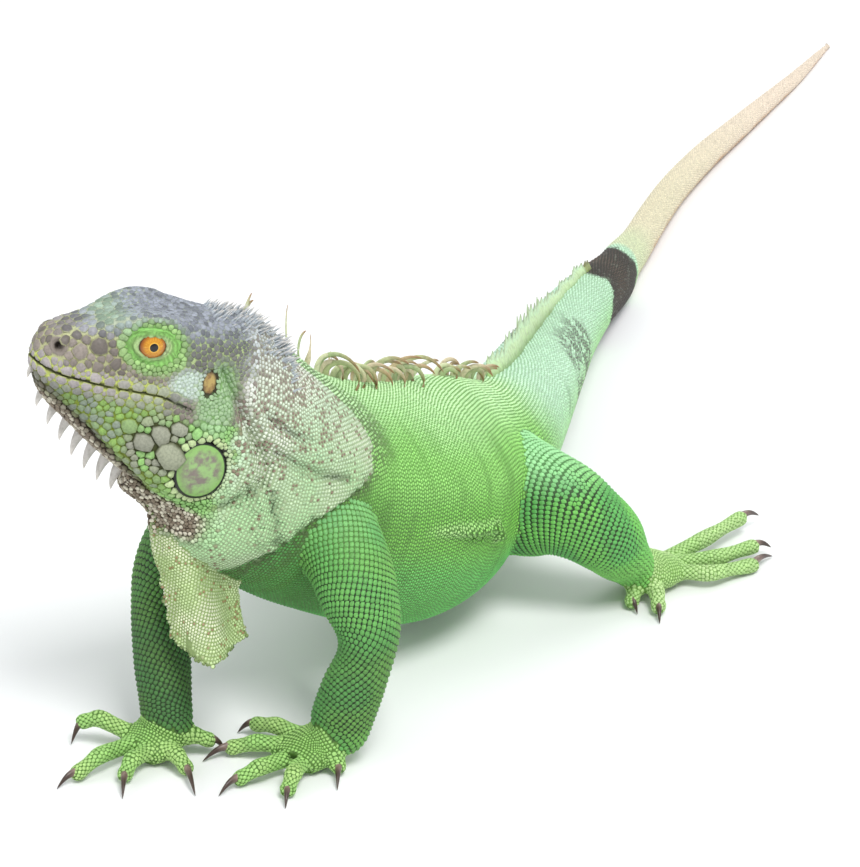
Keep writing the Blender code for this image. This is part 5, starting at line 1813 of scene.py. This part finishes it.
def disc_on_head(skin, at, size, lean, side, dome, edge, depth, steps=12, around=40):
    """The mesh of a domed oval seated on the head's side, with its radial shares."""
    spots = [(0, 0)] + [((k + 1) / steps, 2 * math.pi * n / around)
                        for k in range(steps) for n in range(around)]
    points = []
    for share, turn in spots:
        ahead, above = size[0] * share * math.cos(turn), size[2] * share * math.sin(turn)
        back = at[0] + ahead * math.cos(lean) + above * math.sin(lean)
        up = at[2] + above * math.cos(lean) - ahead * math.sin(lean)
        met = skin.met(head_point(back, 45 * side, up), -LEFT * side, 80)
        points.append(met[0] if met else head_point(back, at[1] * side, up))
    points = np.array(points)
    middle, plane = points.mean(0), np.array([FORWARD, ABOVE])
    flat = 0.5 * (points + middle + ((points - middle) @ plane.T) @ plane)
    radial = np.array([share for share, _ in spots])
    lifts = dome * np.sqrt(np.maximum(1 - radial * radial, 0)) + edge
    count = len(spots)
    rim = count - around
    faces = round_faces(steps, around)
    faces += [tuple(reversed(face)) for face in round_faces(steps, around, count)]
    faces += [(rim + n, count + rim + n, count + rim + m, rim + m)
              for n, m in ((n, (n + 1) % around) for n in range(around))]
    both = np.vstack([flat + LEFT * side * lifts[:, None], flat - LEFT * side * depth])
    mesh = mesh_of("disc", both, faces)
    carry(mesh, radial=np.tile(radial, 2))
    return mesh


def make_shield(skin, side_name, finish):
    mesh = disc_on_head(skin, SHIELD_AT, SHIELD_SIZE, SHIELD_LEAN, SIDES[side_name], 2.4, 0.7, 1.5)
    finished(f"cheek_shield_{side_name}", mesh, finish, [f"shield_{side_name}"])


def make_ear(skin, side_name, finish):
    size = (EAR_SIZE[0] * 1.05, EAR_SIZE[1], EAR_SIZE[2] * 1.1)
    mesh = disc_on_head(skin, EAR_AT, size, -0.12, SIDES[side_name], 0.9, 0.1, 0.8, 6, 28)
    finished(f"ear_drum_{side_name}", mesh, finish, [f"ear_{side_name}"])


CLAW_SHARES = 10


def claw_rings(pad, tip):
    """Rings of a claw: it leaves the last pad, arches over and sharpens to its tip."""
    pad, tip = np.array(pad) - UPWARD * SOLE_SINK, np.array(tip)
    root = pad - unit(tip - pad) * 1.2 + UPWARD * 0.4
    rows = []
    for share in np.arange(CLAW_SHARES + 1) / CLAW_SHARES:
        centre = root + (tip - root) * share + UPWARD * CLAW_ARCH * math.sin(math.pi * share) * 0.9
        size = (1 - share) ** 0.75 + 0.04
        rows.append((*centre, CLAW_ROOT[0] * size, CLAW_ROOT[1] * size))
    return tube_rings(rows, 2, 16)


def make_claws(finish):
    for limb, digits in DIGITS.items():
        for number, digit in enumerate(digits, 1):
            rings = claw_rings(*digit[2:])
            points, faces = loft_mesh(rings)
            points[:, 2] = np.maximum(points[:, 2], 0.05)
            mesh = mesh_of("claw", points, faces)
            carry(mesh, tip=np.repeat(np.linspace(0, 1, len(rings)), len(rings[0])))
            finished(f"claw_horn_{limb}_{number}", mesh, finish,
                     [f"claw_{limb}_{number}"])


# ---- crest, frill and spikes ----
def sweep_tree():
    """Tapered spines along edges: an oval profile swept down each, narrowing to its tip."""
    inputs = {"Paths": "Geometry", "Flatness": "Float", "Finish": "Material"}
    graph, (paths, flatness, finish) = making_tree("spine sweep", inputs, "Spines")
    curves = graph.add("GeometryNodeMeshToCurve", {}, {"Mesh": paths})
    curves = graph.add("GeometryNodeSetCurveNormal", {"mode": "Z_UP"}, {"Curve": curves})
    oval = graph.add("GeometryNodeCurvePrimitiveCircle", {}, {"Resolution": 10, "Radius": 1})
    size = graph.add("ShaderNodeCombineXYZ", {}, {"X": flatness, "Y": 1, "Z": 1})
    oval = graph.add("GeometryNodeTransform", {}, {"Geometry": oval, "Scale": size})
    spines = graph.add("GeometryNodeCurveToMesh", {},
                       {"Curve": curves, "Profile Curve": oval, "Fill Caps": True,
                        "Scale": graph.named("thickness", "FLOAT")})
    graph.close(graph.add("GeometryNodeRealizeInstances", {}, {"Geometry": spines}), finish)
    return graph.tree


def dorsal_point(x):
    """The point of the back's highest line at x, and the line's direction there."""
    line = np.array([ring[18] for ring in LOFTS["spine"]])[::-1]
    way = -np.gradient(line, axis=0)
    at, heading = (across_line([x], line[:, 0], each)[0] for each in (line, way))
    return at, unit(heading)


def curled(base, rise, lean, length, curl, wide, steps=10, taper=0.8):
    """A spine's path as it rises, curls over towards its lean and thins to its tip."""
    path = []
    for share in np.arange(steps + 1) / steps:
        bend = curl * share
        spot = base + (rise * math.sin(bend) + lean * (1 - math.cos(bend))) / curl * length
        path.append((*spot, wide * (1 - share) ** taper + 0.06, share))
    path[0] = (*(base - rise * 1.5), *path[0][3:])
    return path


def paths_mesh(name, paths, tones):
    """The paths as one mesh of edges with thickness, tip and tone at each point."""
    points = np.concatenate(paths)
    ends = set(np.cumsum([len(path) for path in paths]) - 1)
    edges = [(k, k + 1) for k in range(len(points)) if k not in ends]
    mesh = mesh_of(name, points[:, :3], edges=edges)
    carry(mesh, thickness=points[:, 3] * MM, tip=points[:, 4],
          tone=np.repeat(tones, [len(path) for path in paths], axis=0))
    return mesh


def spines_piece(name, paths, tones, tree, flatness, finish, slot):
    mesh = paths_mesh(name, paths, tones)
    made = run_tree(name, mesh, tree, {"Flatness": flatness, "Finish": finish})
    finished(name, made, finish)


def crest_paths(random):
    """Paths and tones of the crest: single spines on the nape, curled tufts further back."""
    paths = []
    tones = []
    for first, last, count, length, wide, curl, left in CREST_RUNS:
        for k in range(count):
            x = first + (last - first) * k / max(count - 1, 1)
            base, heading = dorsal_point(x + random.normal(0, 1.2))
            side = unit(np.cross(heading, UPWARD))
            side = side * math.copysign(1, side[1])
            sway = left + 0.7 * math.sin(2.7 * k) + random.normal(0, 0.25)
            tall = length * (0.6 + 0.55 * random.random())
            rise = unit(UPWARD + side * random.normal(0.05, 0.18) + heading * 0.15)
            over = curl * (0.5 + 0.75 * random.random())
            base = base + side * random.normal(0, 0.8)
            lean = unit(heading + side * sway)
            paths.append(curled(base, rise, lean, tall, over, wide, 12, 0.5))
            tones.append(mix(CREST_TONES[k % len(CREST_TONES)], CREST_TONES[0], 0.3))
    return paths, tones


CREST_TONES = [shade(196, 200, 160), shade(150, 170, 118), shade(214, 196, 168),
               shade(170, 178, 128), shade(190, 160, 124)]


def fuzz_paths(skin, random):
    """Short pointed scales standing on the nape."""
    count, length = NAPE_FUZZ
    paths = []
    for _ in range(count):
        start = head_point(random.uniform(82, 128), random.normal(0, 5), 60)
        base, facing = skin.met(start, -ABOVE, 120)
        rise = unit(facing + ABOVE * 0.6 - FORWARD * 0.4)
        tall = length * random.uniform(0.5, 1.2)
        paths.append(curled(base - rise * 0.4, rise, -FORWARD, tall, 0.6, 0.6, 4))
    return paths, [NAPE_GREY * 0.85] * count


def throat_paths():
    """The row of hooked spikes along the middle of the throat, longest at the back."""
    first, last, count, small, large = GULAR_SPIKES
    throat = np.array([(ring[0], ring[-1]) for ring in HEAD])
    ahead = unit(FORWARD * (1, 1, 0))
    rise, lean = unit(ahead * 0.9 - UPWARD), unit(-ahead - UPWARD * 0.9)
    paths = []
    for share in np.arange(count) / (count - 1):
        back = first + (last - first) * share
        base = head_point(back, 0, np.interp(back, *throat.T) + 1)
        length = small + (large - small) * math.sin(min(share * 1.2, 1) * math.pi / 2)
        paths.append(curled(base, rise, lean, length, 0.6, 1.5 + 2 * share ** 0.5))
    return paths, [shade(196, 192, 186)] * count


def frill_mesh():
    """The low toothed fold along the top of the tail."""
    first, last, teeth, height, half = FRILL
    rings = []
    for k in range(4 * teeth + 1):
        share = k / (4 * teeth)
        base, heading = dorsal_point(first + (last - first) * share)
        side = unit(np.cross(UPWARD, heading))
        swell = height * (0.35 + 0.65 * math.sin(math.pi * min(share * 1.25 + 0.12, 1)))
        tooth = (0.5, 0.75, 1, 0.66)[k % 4] * (1 + 0.12 * math.sin(k * 0.9))
        lean = side * (1.6 + 0.8 * math.sin(k * 0.23))
        rows = [(base - UPWARD * 2.5, half * 2), (base + UPWARD * swell * 0.5 + lean, half * 0.7),
                (base + UPWARD * swell * tooth + heading * 1.6 * tooth + lean * 1.6, 0.2)]
        rings.append(np.array([middle + side * wide for middle, wide in rows]
                              + [middle - side * wide for middle, wide in rows[::-1]]))
    points, faces = loft_mesh(rings)
    mesh = mesh_of("tail frill", points, faces)
    level = np.tile([0, 0.3, 0.75, 0.75, 0.3, 0], len(rings))
    green, _ = markings(points, np.full(len(points), REGION["spine"]), np.full(len(points), 0.5))
    edge = bell(level - 0.1, 0.3) * 0.7
    carry(mesh, tip=level, tone=mix(green * 0.86, shade(186, 206, 118), edge))
    return mesh


# ---- studio ----
CAMERA_AT = (2.3053, 0.7422, 1.13)
CAMERA_AIM = (-0.9397, -0.3420, -0.4811)
LENS = 207.6
FLOOR_SIZE = 30
# Lamps: place, width and power
LAMPS = [((1.5, 1.2, 2.9), 1.2, 78), ((2, -2.2, 1.6), 1.8, 16), ((-2.4, 1.2, 2.2), 1.6, 20)]
LAMP_AIM = Vector((0.05, 0, 0.08))


def placed(thing, at, aim):
    """A lamp or camera in the scene, at its place and turned along its aim."""
    thing = bpy.data.objects.new(thing.name, thing)
    thing.location = at
    thing.rotation_euler = aim.to_track_quat("-Z", "Y").to_euler()
    bpy.context.scene.collection.objects.link(thing)
    return thing


def make_studio():
    """Pale floor, soft lamps, pale surroundings and the camera."""
    scene = bpy.context.scene
    half = FLOOR_SIZE / 2
    mesh = bpy.data.meshes.new("floor")
    mesh.from_pydata([(-half, -half, 0), (half, -half, 0), (half, half, 0), (-half, half, 0)], [],
                     [(0, 1, 2, 3)])
    mesh.materials.append(Finish("pale floor", 0.9, 0.5).done(paint(236, 236, 236)))
    add_object("floor", mesh)
    for number, (place, wide, power) in enumerate(LAMPS, 1):
        lamp = bpy.data.lights.new(f"soft lamp {number}", "AREA")
        lamp.shape = "SQUARE"
        lamp.size = wide
        lamp.energy = power
        placed(lamp, place, LAMP_AIM - Vector(place))
    scene.world = bpy.data.worlds.new("pale room")
    scene.world.use_nodes = True
    room = Graph(scene.world.node_tree)
    for name, value in (("Color", paint(240, 243, 246)), ("Strength", 0.88)):
        room.feed(room.tree.nodes["Background"].inputs[name], value)
    camera = bpy.data.cameras.new("camera")
    camera.lens = LENS
    camera.clip_end = 100
    scene.camera = placed(camera, CAMERA_AT, Vector(CAMERA_AIM))
    scene.view_settings.view_transform = "Standard"


def make_animal():
    random = np.random.default_rng(SEED + 3)
    skin = Skin()
    coat = coat_finish()
    roots = make_coat(skin, coat)
    make_skin(skin, roots, skin_finish())
    eye, shield, ear, claw = eye_finish(), shield_finish(), ear_finish(), claw_finish()
    for side_name in SIDES:
        make_eye(side_name, eye)
        make_shield(skin, side_name, shield)
        make_ear(skin, side_name, ear)
    make_claws(claw)
    tree = sweep_tree()
    spine = toned_finish("crest horn", 0.5, paint(150, 112, 78))
    pale = toned_finish("pale horn", 0.45, paint(214, 208, 200))
    spines_piece("crest", *crest_paths(random), tree, 0.34, spine, "trunk_skin")
    spines_piece("nape_fuzz", *fuzz_paths(skin, random), tree, 0.8, pale, "neck_skin")
    spines_piece("throat_spikes", *throat_paths(), tree, 0.45, pale, "head_skin")
    finished("tail_frill", frill_mesh(), toned_finish("frill skin", 0.5, paint(146, 150, 92)))


make_animal()
make_studio()
